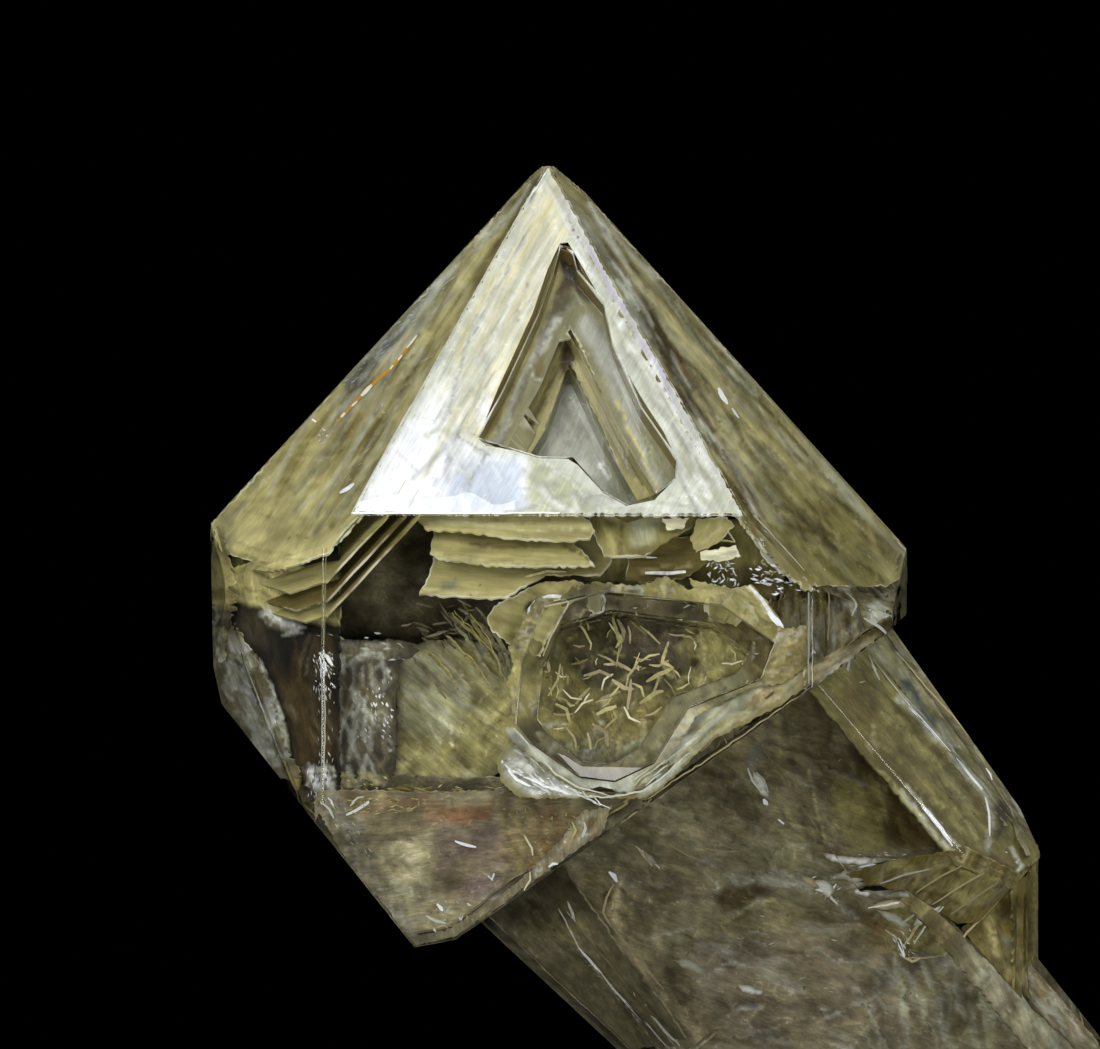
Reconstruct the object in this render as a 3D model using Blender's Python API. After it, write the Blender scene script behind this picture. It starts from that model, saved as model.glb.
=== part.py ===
"""A skeletal quartz: one head crystal with stepped hollows, grown on a stem of parallel crystals.

The crystals are intergrown, so they are one solid. Each crystal is a blank cut by flat faces.
A face is (azimuth, polar, distance): azimuth is measured from the front (-Y) towards +X, polar
from the crystal's own growth axis, both in degrees, and distance in mm from the crystal's own
origin. The part stands on the flat cut through its root, with +Z up and -Y to the front.
"""
import math

import bmesh
import bpy
from mathutils import Matrix, Vector

MM = 0.001

# ---- Driving dimensions (mm and degrees) ----
APEX_HEIGHT = 62.4          # tip of the head above the cut root
HEAD_LEAN = 11.4            # the head's growth axis leans back from the vertical
STEM_LEAN = -40.5           # the stem's growth axis leans to the left from the vertical
FACE_POLAR = 51.8           # every terminal face of quartz stands this far off the growth axis
PRISM_POLAR = 90.0
FRONT_PRISM = 21.7          # growth axis to the front prism face of the head

STEM_ORIGIN = (15.9, -3.6, 14.5)    # a point on the stem's axis, from below the tip, at the root
ROOT_ORIGIN = (13.8, -3.9, 1.0)     # foot of the upright crystals at the root

HEAD_FACES = {
    "front_terminal": (0, FACE_POLAR, 0),
    "right_terminal": (60, FACE_POLAR, 0.1),
    "left_terminal": (-60, FACE_POLAR, 0.1),
    "back_right_terminal": (120, 54.2, 1.85),
    "back_left_terminal": (-120, 52.5, 1.15),
    "back_terminal": (180, FACE_POLAR, 0.9),
    "worn_tip": (0, HEAD_LEAN, 0.12),
    "front_prism": (0, PRISM_POLAR, FRONT_PRISM),
    "right_prism": (60, PRISM_POLAR, 25.6),
    "left_prism": (-60, PRISM_POLAR, 23.4),
    "left_flank": (-85.5, 91.5, 22.5),
    "right_flank": (86, 92, 24.2),
    "back_right_prism": (120, PRISM_POLAR, 21.6),
    "back_left_prism": (-120, PRISM_POLAR, 20),
    "back_prism": (180, PRISM_POLAR, 16.3),
    "left_lower_flank": (-83.5, 105.3, 29.4),
    "left_underside": (-98, 127.8, 38.6),
    "right_underside": (106, 143.1, 37.4),
    "front_underside": (0, 126.8, 45.2),
    "lower_tip": (136.5, 164.7, 48.3),
}

STEM_FACES = {
    "front": (0, PRISM_POLAR, 12.4),
    "front_right": (50, PRISM_POLAR, 12.6),
    "right": (91, 92.2, 10.1),
    "back_right": (140, PRISM_POLAR, 12.6),
    "back": (180, PRISM_POLAR, 12),
    "back_left": (-135, PRISM_POLAR, 17),
    "left": (-91, 97, 14.7),
    "right_end": (90, 130.5, 23.7),
    "front_left": (-62.7, 88.5, 16.2),
    "buried_top": (0, 0, 14.3),
}

SIDE_FACES = {
    "front": (-6, PRISM_POLAR, 12.3),
    "front_right": (35, PRISM_POLAR, 17),
    "right_bevel": (69.7, 89.2, 17),
    "right": (90, 95.3, 15.6),
    "right_end": (90, 106.8, 16),
    "right_tip": (90, 129.4, 16.1),
    "back_right": (140, PRISM_POLAR, 15.1),
    "back": (180, PRISM_POLAR, 11.4),
    "left": (-40, PRISM_POLAR, 7.9),
    "front_end": (-18.7, 113.2, 10.6),
    "lower_end": (74, 174, 9.9),
    "left_end": (-91.4, 83.8, -4.3),
    "bottom_end": (-94, 136.4, 2.7),
    "buried_top": (0, 0, 16.2),
}

POST_FACES = {
    "right": (90, PRISM_POLAR, 18.1),
    "front_right": (75, 91.2, 19),
    "front": (0, PRISM_POLAR, 10.7),
    "back": (180, PRISM_POLAR, 9.7),
    "back_right": (143, PRISM_POLAR, 15.6),
    "left": (-90, PRISM_POLAR, -6.5),
    "top": (0, 0, 17.2),
}

ROOT_FACES = {
    "left": (-80, 45, 9.1),
    "front_left": (-60, 44, 9.6),
    "top": (-91, 22, 6.5),
    "front": (0, PRISM_POLAR, 10.1),
    "back": (180, PRISM_POLAR, 11),
    "back_left": (-140, 57.4, 11.7),
    "right": (90, PRISM_POLAR, 9.1),
}

# Stepped window in the front terminal face: (depth, outline). An outline's points are mm to the
# right of the growth axis and mm down the face from the tip.
WINDOW_STEPS = (
    (1.3, ((0.8, 7.9), (1.6, 8.5), (1.9, 10.4), (3.6, 13.5), (4.2, 17.7), (6.0, 24.1), (8.3, 29.3),
           (8.2, 31.4), (6.8, 33.1), (5.1, 34.0), (3.6, 32.7), (1.6, 29.3), (-0.6, 29.2),
           (-4.6, 27.3), (-2.9, 22.5), (-0.6, 14.8), (0.4, 10.4))),
    (2.4, ((1.1, 14.6), (2.9, 19.8), (5.2, 26.6), (7.2, 32.0), (5.9, 33.2), (3.7, 32.2),
           (1.7, 28.7), (-0.7, 28.6), (-3.1, 27.9), (-0.4, 20.2))),
    (3.6, ((1.3, 17.2), (3.6, 24.6), (6.0, 31.4), (4.6, 32.2), (3.6, 31.4), (1.8, 28.0),
           (-0.8, 27.8), (-1.7, 27.4), (-0.1, 23.4))),
)

# Hollow in the front prism face, above the stem: (depth, outline), mm to the right of the growth
# axis and mm below the tip.
HOLLOW_STEPS = (
    (1.6, ((-0.2, 33.4), (3.4, 32.5), (11.2, 33.4), (14.6, 35.9), (13.7, 38.3), (9.0, 40.2),
           (6.8, 43.8), (4.3, 45.0), (2.0, 44.7), (-1.2, 42.4), (-2.1, 41.2), (-1.7, 37.2))),
    (3.4, ((0.8, 34.6), (4.0, 33.6), (10.6, 34.5), (12.9, 36.4), (12.2, 37.6), (8.0, 39.2),
           (5.8, 42.6), (3.9, 43.6), (2.2, 43.4), (0.0, 41.6), (-0.7, 40.6), (-0.3, 37.2))),
)

BLANK_SIZE = 160.0          # edge of the cube that each crystal is cut from
CUTTER_PROUD = 3.0          # how far a hollow's cutter stands out of the face


def face_normal(azimuth, polar):
    """Outward normal of a face in its crystal's own frame."""
    around = math.radians(azimuth)
    down = math.radians(polar)
    return Vector((math.sin(down) * math.sin(around), -math.sin(down) * math.cos(around), math.cos(down)))


def new_material(name, color, roughness):
    """Clear quartz: a dielectric with the mineral's refractive index."""
    material = bpy.data.materials.new(name)
    material.use_nodes = True
    shader = material.node_tree.nodes["Principled BSDF"]
    shader.inputs["Base Color"].default_value = color
    shader.inputs["Roughness"].default_value = roughness
    shader.inputs["Metallic"].default_value = 0.0
    shader.inputs["IOR"].default_value = 1.544
    shader.inputs["Transmission Weight"].default_value = 1.0
    return material


def new_object(name, bm, collection):
    mesh = bpy.data.meshes.new(name)
    bm.to_mesh(mesh)
    bm.free()
    item = bpy.data.objects.new(name, mesh)
    collection.objects.link(item)
    return item


def cut_crystal(name, faces, place, collection):
    """A cube cut by one plane for each face, each cut closed with a flat face."""
    bm = bmesh.new()
    bmesh.ops.create_cube(bm, size=BLANK_SIZE * MM)
    for azimuth, polar, distance in faces.values():
        normal = face_normal(azimuth, polar)
        everything = bm.verts[:] + bm.edges[:] + bm.faces[:]
        result = bmesh.ops.bisect_plane(bm, geom=everything, dist=1e-7, plane_co=normal * distance * MM,
                                        plane_no=normal, clear_outer=True)
        rim = [item for item in result["geom_cut"] if isinstance(item, bmesh.types.BMEdge)]
        bmesh.ops.edgeloop_fill(bm, edges=rim)
    bmesh.ops.recalc_face_normals(bm, faces=bm.faces[:])
    bm.transform(place)
    return new_object(name, bm, collection)


def outline_cutter(name, outline, depth, face_place, collection):
    """A flat outline given thickness: it reaches depth into the face and stands proud of it."""
    curve = bpy.data.curves.new(name, "CURVE")
    curve.dimensions = "2D"
    curve.fill_mode = "BOTH"
    curve.extrude = (depth + CUTTER_PROUD) / 2 * MM
    spline = curve.splines.new("POLY")
    spline.points.add(len(outline) - 1)
    for point, (right, down) in zip(spline.points, outline):
        point.co = (right * MM, -down * MM, 0, 1)
    spline.use_cyclic_u = True
    drawn = bpy.data.objects.new(name, curve)
    collection.objects.link(drawn)
    bpy.context.view_layer.update()
    mesh = bpy.data.meshes.new_from_object(drawn.evaluated_get(bpy.context.evaluated_depsgraph_get()))
    bpy.data.objects.remove(drawn)
    bm = bmesh.new()
    bm.from_mesh(mesh)
    bmesh.ops.remove_doubles(bm, verts=bm.verts[:], dist=1e-6)
    bmesh.ops.recalc_face_normals(bm, faces=bm.faces[:])
    bm.transform(face_place @ Matrix.Translation((0, 0, (CUTTER_PROUD - depth) / 2 * MM)))
    return new_object(name, bm, collection)


def box_cutter(name, size, centre, collection):
    bm = bmesh.new()
    bmesh.ops.create_cube(bm, size=size * MM)
    bm.transform(Matrix.Translation(Vector(centre) * MM))
    return new_object(name, bm, collection)


def combine(target, tool, operation):
    """A Boolean on the target, with the tool kept as a wire guide."""
    tool.hide_render = True
    tool.display_type = "WIRE"
    boolean = target.modifiers.new(tool.name, "BOOLEAN")
    boolean.operation = operation
    boolean.solver = "EXACT"
    boolean.object = tool


def centre_over_root(target, objects):
    """Move everything sideways, so that the origin is under the middle of the finished solid."""
    evaluated = target.evaluated_get(bpy.context.evaluated_depsgraph_get())
    corners = [evaluated.matrix_world @ vertex.co for vertex in evaluated.data.vertices]
    middle_x = (min(c.x for c in corners) + max(c.x for c in corners)) / 2
    middle_y = (min(c.y for c in corners) + max(c.y for c in corners)) / 2
    for item in objects:
        item.location = (-middle_x, -middle_y, 0)


def main():
    for item in list(bpy.data.objects):
        bpy.data.objects.remove(item)
    parts = bpy.data.collections.new("skeletal_quartz")
    tools = bpy.data.collections.new("cutters")
    for collection in (parts, tools):
        bpy.context.scene.collection.children.link(collection)

    head_place = (Matrix.Translation((0, 0, APEX_HEIGHT * MM))
                  @ Matrix.Rotation(math.radians(-HEAD_LEAN), 4, "X"))
    stem_place = (Matrix.Translation(Vector(STEM_ORIGIN) * MM)
                  @ Matrix.Rotation(math.radians(STEM_LEAN), 4, "Y"))
    root_place = Matrix.Translation(Vector(ROOT_ORIGIN) * MM)

    head = cut_crystal("quartz_crystals", HEAD_FACES, head_place, parts)
    joined = [
        cut_crystal("stem_crystal", STEM_FACES, stem_place, tools),
        cut_crystal("side_crystal", SIDE_FACES, stem_place, tools),
        cut_crystal("post_crystal", POST_FACES, root_place, tools),
        cut_crystal("root_crystal", ROOT_FACES, root_place, tools),
    ]

    terminal_place = head_place @ Matrix.Rotation(math.radians(FACE_POLAR), 4, "X")
    prism_place = (head_place @ Matrix.Translation((0, -FRONT_PRISM * MM, 0))
                   @ Matrix.Rotation(math.radians(PRISM_POLAR), 4, "X"))
    hollows = []
    for face_name, face_place, steps in (("window", terminal_place, WINDOW_STEPS),
                                         ("hollow", prism_place, HOLLOW_STEPS)):
        for number, (depth, outline) in enumerate(steps, 1):
            name = f"{face_name}_step_{number}"
            hollows.append(outline_cutter(name, outline, depth, face_place, tools))
    root_cut = box_cutter("root_cut", BLANK_SIZE * 2, (0, 0, -BLANK_SIZE), tools)

    for tool in joined:
        combine(head, tool, "UNION")
    for tool in hollows + [root_cut]:
        combine(head, tool, "DIFFERENCE")
    bpy.context.view_layer.update()
    centre_over_root(head, [head, root_cut] + joined + hollows)
    head.data.materials.append(new_material("clear_quartz", (0.86, 0.85, 0.74, 1.0), 0.02))


main()
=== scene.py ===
import math

import bmesh
import bpy
import numpy as np
from mathutils import Matrix, Vector, noise
from mathutils.bvhtree import BVHTree
from mathutils.geometry import delaunay_2d_cdt


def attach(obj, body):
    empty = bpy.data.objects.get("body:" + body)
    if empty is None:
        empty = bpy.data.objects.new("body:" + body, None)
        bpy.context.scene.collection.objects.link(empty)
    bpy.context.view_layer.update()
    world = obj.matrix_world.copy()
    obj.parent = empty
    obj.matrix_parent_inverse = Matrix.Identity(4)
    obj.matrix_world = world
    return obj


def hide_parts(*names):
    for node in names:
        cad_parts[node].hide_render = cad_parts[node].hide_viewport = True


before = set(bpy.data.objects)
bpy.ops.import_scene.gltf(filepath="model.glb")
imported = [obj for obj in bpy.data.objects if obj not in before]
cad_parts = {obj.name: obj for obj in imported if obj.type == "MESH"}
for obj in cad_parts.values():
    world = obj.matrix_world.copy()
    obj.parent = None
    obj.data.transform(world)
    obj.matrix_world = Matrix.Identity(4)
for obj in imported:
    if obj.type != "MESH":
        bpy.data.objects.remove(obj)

noise.seed_set(1)                        # the clock seeds it otherwise, and no two runs would be the same
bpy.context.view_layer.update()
MM = 0.001
cad_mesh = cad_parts["quartz_crystals"].data
SOLID = BVHTree.FromPolygons([v.co / MM for v in cad_mesh.vertices],
                             [p.vertices for p in cad_mesh.polygons if p.area > 1e-9])
CLEARANCE = 0.06                         # mm of clear quartz left over everything sealed in the crystals
PROBE = Vector((0.31, 0.17, 0.94))       # a direction along no face, to count the faces that a line crosses
MOST_HITS = 20

# ---------------------------------------------------------------- sizes and places
PIXEL = 0.065                            # mm across one photo pixel, on the plane the camera is aimed at
PHOTO_SIZE = (1100, 1049)
TIP_PIXEL = np.array((548, 165))         # where the head's tip shows
TIP = np.array((-8.76, 9.141, 62.4))     # the same point in the row frame, mm
HEAD_LEAN = 11.4
STEM_LEAN = -40.5
STEM_ORIGIN = TIP + np.array((15.9, -3.6, -47.9))
ROOT_ORIGIN = TIP + np.array((13.8, -3.9, -61.4))
FACE_POLAR = 51.8
GLASS_IOR = 1.544

CAMERA_DISTANCE = 1600
AIM_DEPTH = -200 * PIXEL                 # where a pixel is PIXEL wide, in front of the tip


def aimed_points(pixels):
    """Points on the plane that the camera is aimed at, for an array of photo pixels."""
    offset = (np.asarray(pixels, float) - TIP_PIXEL) * PIXEL
    return TIP + np.stack([offset[..., 0], np.full(offset.shape[:-1], AIM_DEPTH), -offset[..., 1]], -1)


EYE = aimed_points(np.array(PHOTO_SIZE) / 2) + np.array((0, -CAMERA_DISTANCE, 0))

# Faces as in the CAD: azimuth from the front, angle off the growth axis, mm from the crystal's origin.
HEAD_FACES = {
    "front_terminal": (0, FACE_POLAR, 0),
    "right_terminal": (60, FACE_POLAR, 0.1),
    "left_terminal": (-60, FACE_POLAR, 0.1),
    "front_prism": (0, 90, 21.7),
    "right_prism": (60, 90, 25.6),
    "left_prism": (-60, 90, 23.4),
    "left_flank": (-85.5, 91.5, 22.5),
    "right_flank": (86, 92, 24.2),
    "left_lower_flank": (-83.5, 105.3, 29.4),
    "left_underside": (-98, 127.8, 38.6),
    "right_underside": (106, 143.1, 37.4),
    "front_underside": (0, 126.8, 45.2),
    "lower_tip": (136.5, 164.7, 48.3),
    "back_right_terminal": (120, 54.2, 1.85),
    "back_left_terminal": (-120, 52.5, 1.15),
    "back_terminal": (180, FACE_POLAR, 0.9),
    "back_right_prism": (120, 90, 21.6),
    "back_left_prism": (-120, 90, 20),
    "back_prism": (180, 90, 16.3),
}
STEM_FACES = {
    "stem_front": (0, 90, 12.4),
    "stem_front_right": (50, 90, 12.6),
    "stem_right": (91, 92.2, 10.1),
    "stem_back_right": (140, 90, 12.6),
    "stem_back": (180, 90, 12),
    "stem_back_left": (-135, 90, 17),
    "stem_left": (-91, 97, 14.7),
    "stem_right_end": (90, 130.5, 23.7),
    "stem_front_left": (-62.7, 88.5, 16.2),
    "stem_top": (0, 0, 14.3),
}
SIDE_FACES = {
    "side_front": (-6, 90, 12.3),
    "side_front_right": (35, 90, 17),
    "side_bevel": (69.7, 89.2, 17),
    "side_right": (90, 95.3, 15.6),
    "side_right_end": (90, 106.8, 16),
    "side_right_tip": (90, 129.4, 16.1),
    "side_back_right": (140, 90, 15.1),
    "side_back": (180, 90, 11.4),
    "side_end": (-18.7, 113.2, 10.6),
    "side_lower_end": (74, 174, 9.9),
    "side_left": (-40, 90, 7.9),
    "side_left_end": (-91.4, 83.8, -4.3),
    "side_bottom_end": (-94, 136.4, 2.7),
    "side_top": (0, 0, 16.2),
}
POST_FACES = {
    "post_right": (90, 90, 18.1),
    "post_bevel": (75, 91.2, 19),
    "post_front": (0, 90, 10.7),
    "post_back": (180, 90, 9.7),
    "post_back_right": (143, 90, 15.6),
    "post_left": (-90, 90, -6.5),
    "post_top": (0, 0, 17.2),
}
ROOT_FACES = {
    "root_left": (-80, 45, 9.1),
    "root_front_left": (-60, 44, 9.6),
    "root_top": (-91, 22, 6.5),
    "root_front": (0, 90, 10.1),
    "root_back": (180, 90, 11),
    "root_back_left": (-140, 57.4, 11.7),
    "root_right": (90, 90, 9.1),
}


def crystal_plane(face, turn, origin):
    """(outward normal, a point on it) of a crystal face in the row frame, mm."""
    azimuth, polar, distance = face
    around, down = math.radians(azimuth), math.radians(polar)
    normal = np.array(turn @ Vector((math.sin(down) * math.sin(around),
                                     -math.sin(down) * math.cos(around), math.cos(down))))
    return normal, origin + normal * distance


HEAD_TURN = Matrix.Rotation(math.radians(-HEAD_LEAN), 3, "X")
STEM_TURN = Matrix.Rotation(math.radians(STEM_LEAN), 3, "Y")
PLANES = {name: crystal_plane(face, turn, origin)
          for faces, turn, origin in ((HEAD_FACES, HEAD_TURN, TIP), (STEM_FACES, STEM_TURN, STEM_ORIGIN),
                                      (SIDE_FACES, STEM_TURN, STEM_ORIGIN),
                                      (POST_FACES, Matrix.Identity(3), ROOT_ORIGIN),
                                      (ROOT_FACES, Matrix.Identity(3), ROOT_ORIGIN))
          for name, face in faces.items()}
PLANES["cut"] = np.array((0, 0, -1.0)), np.zeros(3)


def below(face, depth, turn=(0, 0), pivot=None):
    """The plane depth mm inside a face. turn tips it about its level and its slope line, at a photo pixel."""
    normal, point = PLANES[face]
    point = point - normal * depth
    if any(turn):
        level, slope = plane_axes(normal)
        point = seen([pivot], (normal, point), face)[0]
        spin = (Matrix.Rotation(math.radians(turn[0]), 3, Vector(level))
                @ Matrix.Rotation(math.radians(turn[1]), 3, Vector(slope)))
        normal = np.array(spin @ Vector(normal))
    return normal, point


def sealed(place):
    """The place itself, or the nearest one under the crystals' surface if it is not inside them."""
    place = Vector(place)
    near, normal, _, gap = SOLID.find_nearest(place)
    outside = gap <= CLEARANCE
    if not outside and (place - near).dot(normal) > 0:
        hits, start = 0, place.copy()
        while hits < MOST_HITS:
            hit = SOLID.ray_cast(start, PROBE)[0]
            if hit is None:
                break
            hits, start = hits + 1, hit + PROBE * 1e-4
        outside = hits % 2 == 0
    return near - normal * CLEARANCE if outside else place


def is_sealed(place):
    """Whether a place is inside the crystals already."""
    return (sealed(place) - Vector(place)).length == 0


def plane_axes(normal):
    """Two unit vectors in a plane: one level to the right, and one up its slope."""
    level = np.cross((0, 0, 1), normal)
    level = level / np.linalg.norm(level)
    return level, np.cross(normal, level)


def seen(pixels, plane, through):
    """Where the lines of sight through photo pixels, bent where they enter, meet an inner plane."""
    rays = aimed_points(pixels) - EYE
    rays = rays / np.linalg.norm(rays, axis=1, keepdims=True)
    normal, point = PLANES[through] if isinstance(through, str) else through
    cosine = -(rays @ normal)
    entry = EYE + rays * (((point - EYE) @ normal) / -cosine)[:, None]
    ratio = 1 / GLASS_IOR
    bend = ratio * cosine - np.sqrt(1 - ratio * ratio * (1 - cosine * cosine))
    inner = rays * ratio + normal * bend[:, None]
    normal, point = plane
    return entry + inner * (((point - entry) @ normal) / (inner @ normal))[:, None]


def entry_face(pixel):
    """The head's face that a line of sight enters."""
    ray = aimed_points(pixel) - EYE
    reach = {name: (PLANES[name][1] - EYE) @ PLANES[name][0] / (ray @ PLANES[name][0])
             for name in HEAD_FACES if PLANES[name][0] @ ray < -1e-4}
    return max(reach, key=reach.get)


# ---------------------------------------------------------------- colours, as sRGB display values
TINTS = {
    "cream": (216, 212, 178), "pale_cream": (232, 230, 205), "butter": (200, 190, 128),
    "milk": (222, 225, 220), "white": (246, 248, 246), "snow": (238, 241, 246), "sky": (188, 200, 218),
    "lavender": (176, 173, 184), "lead": (140, 141, 134), "ash": (168, 170, 156), "mist": (196, 200, 186),
    "sage": (176, 180, 148), "khaki": (158, 151, 99), "straw": (184, 177, 124), "olive": (126, 120, 72),
    "moss": (106, 102, 58), "olive_ash": (124, 122, 90), "bronze": (96, 86, 46), "umber": (66, 54, 28),
    "dusk": (52, 48, 34), "night": (22, 20, 15), "rust": (134, 92, 30), "amber": (186, 140, 52),
    "rose": (146, 108, 92), "clay": (126, 96, 68), "plum": (104, 90, 84), "smoke": (98, 90, 68),
    "smoke_light": (126, 120, 94), "slate": (84, 92, 94), "deep": (84, 78, 56), "haze": (112, 106, 80),
    "fawn": (146, 136, 104), "mauve": (122, 108, 100), "sand": (172, 160, 124),
}
THINNEST = 2.4                           # pixels: a narrower streak would fall between a sheet's points


def linear(name):
    """Linear colour of a named tint."""
    values = np.array(TINTS[name]) / 255
    return np.where(values <= 0.04045, values / 12.92, ((values + 0.055) / 1.055) ** 2.4)


def pairs(points):
    """Points as pairs of numbers, from a list or from text as in an SVG polygon: "548,168 535,190"."""
    if isinstance(points, str):
        return [tuple(float(value) for value in point.split(",")) for point in points.split()]
    return points


def line(name, width, points, amount=1.0):
    """A painted line, width in photo pixels."""
    return "line", name, width, amount, pairs(points)


def patch(name, soft, points, amount=1.0):
    """A painted patch whose edge fades over so many photo pixels."""
    return "patch", name, soft, amount, pairs(points)


def scattered(rng, region, count, tries):
    """Random points in a region: the first count of tries times as many that fall inside it."""
    spots = rng.uniform(region.min(0), region.max(0), (count * tries, 2))
    return spots[outline_distance(spots, region)[1]][:count]


def scribble(region, count, length, width, tints, angle, wander, amount, seed):
    """Fine random streaks in a region: length and width in photo pixels, angle down to the right."""
    rng = np.random.default_rng(seed)
    strokes, tints = [], tints.split()
    for spot in scattered(rng, np.array(pairs(region), float), count, 10):
        turn = math.radians(angle) + rng.normal(0, wander)
        along = np.array((math.cos(turn), math.sin(turn))) * length * rng.uniform(0.3, 1) / 2
        bow = np.array((-along[1], along[0])) * rng.normal(0, 0.06 + wander / 3)
        tint = tints[rng.integers(len(tints))]
        size = max(THINNEST, width * rng.uniform(0.3, 1))
        strokes.append(("streak", tint, size, rng.uniform(*amount),
                        [spot - along, spot - along * 0.3 + bow, spot + along * 0.3 + bow, spot + along]))
    return strokes


def lenses(region, count, length, slim, tints, angle, wander, amount, seed):
    """Painted cleavage flakes in a region: each has one crisp edge and thins out towards the other."""
    rng = np.random.default_rng(seed)
    strokes, tints = [], tints.split()
    for spot in scattered(rng, np.array(pairs(region), float), count, 10):
        turn = math.radians(angle) + rng.normal(0, wander)
        reach = length * rng.uniform(0.3, 1) / 2
        along = np.array((math.cos(turn), math.sin(turn))) * reach * rng.choice((-1, 1))
        tint = tints[rng.integers(len(tints))]
        size = reach * slim * rng.uniform(0.5, 1.2)
        strokes.append(("lens", tint, size, rng.uniform(*amount), [spot, along]))
    return strokes


def outline_distance(points, outline, closed=True):
    """Distance of each point to an outline, and whether it lies inside."""
    start = np.asarray(outline, float)
    end = np.roll(start, -1, axis=0)
    if not closed:
        start, end = start[:-1], end[:-1]
    best = np.full(len(points), 1e9)
    inside = np.zeros(len(points), bool)
    for (ax, ay), (bx, by) in zip(start, end):
        dx, dy = bx - ax, by - ay
        along = ((points[:, 0] - ax) * dx + (points[:, 1] - ay) * dy) / max(dx * dx + dy * dy, 1e-9)
        along = np.clip(along, 0, 1)
        best = np.minimum(best, np.hypot(points[:, 0] - ax - dx * along, points[:, 1] - ay - dy * along))
        if by != ay:
            crossed = (ay > points[:, 1]) != (by > points[:, 1])
            inside ^= crossed & (points[:, 0] < ax + (points[:, 1] - ay) * dx / dy)
    return best, inside


def wavering(points, size, amount, seed):
    """A smooth random shift of each point, in photo pixels."""
    return np.array([noise.noise_vector(Vector((x / size, y / size, seed * 3.7)))[:2]
                     for x, y in points]) * amount


def stroke_mask(kind, size, shape, points, moved):
    """Which points a stroke reaches, and how much of it they take. moved are the points, wavering."""
    if kind == "streak":
        low, high = np.min(shape, 0) - size, np.max(shape, 0) + size
        near = np.nonzero(((points > low) & (points < high)).all(1))[0]
        gap = outline_distance(points[near], shape, closed=False)[0]
        return near, 1.3 - gap / size * 1.3
    if kind == "lens":
        spot, along = shape
        reach = np.hypot(*along)
        near = np.nonzero((np.abs(points - spot) < reach + 8).all(1))[0]
        offset = (moved[near] - spot) / reach
        lengthways = offset @ along / reach
        across = (offset[:, 1] * along[0] - offset[:, 0] * along[1]) / size
        thinning = 0.15 + 0.85 * np.clip((across + 1) / 2, 0, 1) ** 1.6
        return near, np.clip((1 - lengthways ** 2 - across ** 2) * 4, 0, 1) * thinning
    if kind == "line":
        gap = outline_distance(moved, shape, closed=False)[0]
        return slice(None), 0.5 - (gap - size / 2) / max(1.5, size * 0.5)
    gap, inside = outline_distance(moved, shape)
    return slice(None), 0.5 - np.where(inside, -gap, gap) / size


def painted(points, base, strokes, mottle, seed):
    """Colours of points in photo pixels: a base tint, cloudy, with painted strokes."""
    colors = np.tile(linear(base), (len(points), 1))
    moved = points + wavering(points, 22, 5, seed) + wavering(points, 7, 2, seed + 1)
    for kind, name, size, amount, shape in strokes:
        reached, mask = stroke_mask(kind, size, shape, points, moved)
        mask = np.clip(mask, 0, 1)[:, None] * amount
        colors[reached] += (linear(name) - colors[reached]) * mask
    clouds = wavering(points, 34, 1, seed + 2)[:, :1] + wavering(points, 11, 0.6, seed + 3)[:, :1]
    return colors * np.clip(1 + mottle * 2 * clouds, 0.2, 2)


# ---------------------------------------------------------------- materials
def principled(name, **values):
    """A material, its node tree and its shader with some inputs set."""
    material = bpy.data.materials.new(name)
    material.use_nodes = True
    shader = material.node_tree.nodes["Principled BSDF"]
    for key, value in values.items():
        shader.inputs[key.replace("_", " ")].default_value = value
    return material, material.node_tree, shader


def node(tree, kind, links=None, **values):
    """A shader node with its sockets set, and linked from other nodes' outputs."""
    made = tree.nodes.new("ShaderNode" + kind)
    for key, value in values.items():
        if key.replace("_", " ") in made.inputs:
            made.inputs[key.replace("_", " ")].default_value = value
        else:
            setattr(made, key, value)
    for target, source in (links or {}).items():
        tree.links.new(source, made.inputs[target])
    return made


def cloudy(tree, place, scale, detail, roughness, distortion=0.0):
    """Noise at a place, mostly between 0.3 and 0.7."""
    return node(tree, "TexNoise", {"Vector": place}, Scale=scale, Detail=detail, Roughness=roughness,
                Distortion=distortion).outputs["Fac"]


def ranged(tree, value, start, stop, low, high):
    """A value mapped from start..stop to low..high."""
    return node(tree, "MapRange", {"Value": value}, From_Min=start, From_Max=stop, To_Min=low,
                To_Max=high).outputs["Result"]


def combined(tree, operation, first, second):
    """Two values added or multiplied."""
    return node(tree, "Math", {0: first, 1: second}, operation=operation).outputs["Value"]


def scaled(tree, color, factor):
    """A colour times a value."""
    return node(tree, "VectorMath", {"Vector": color, "Scale": factor}, operation="SCALE").outputs["Vector"]


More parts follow.
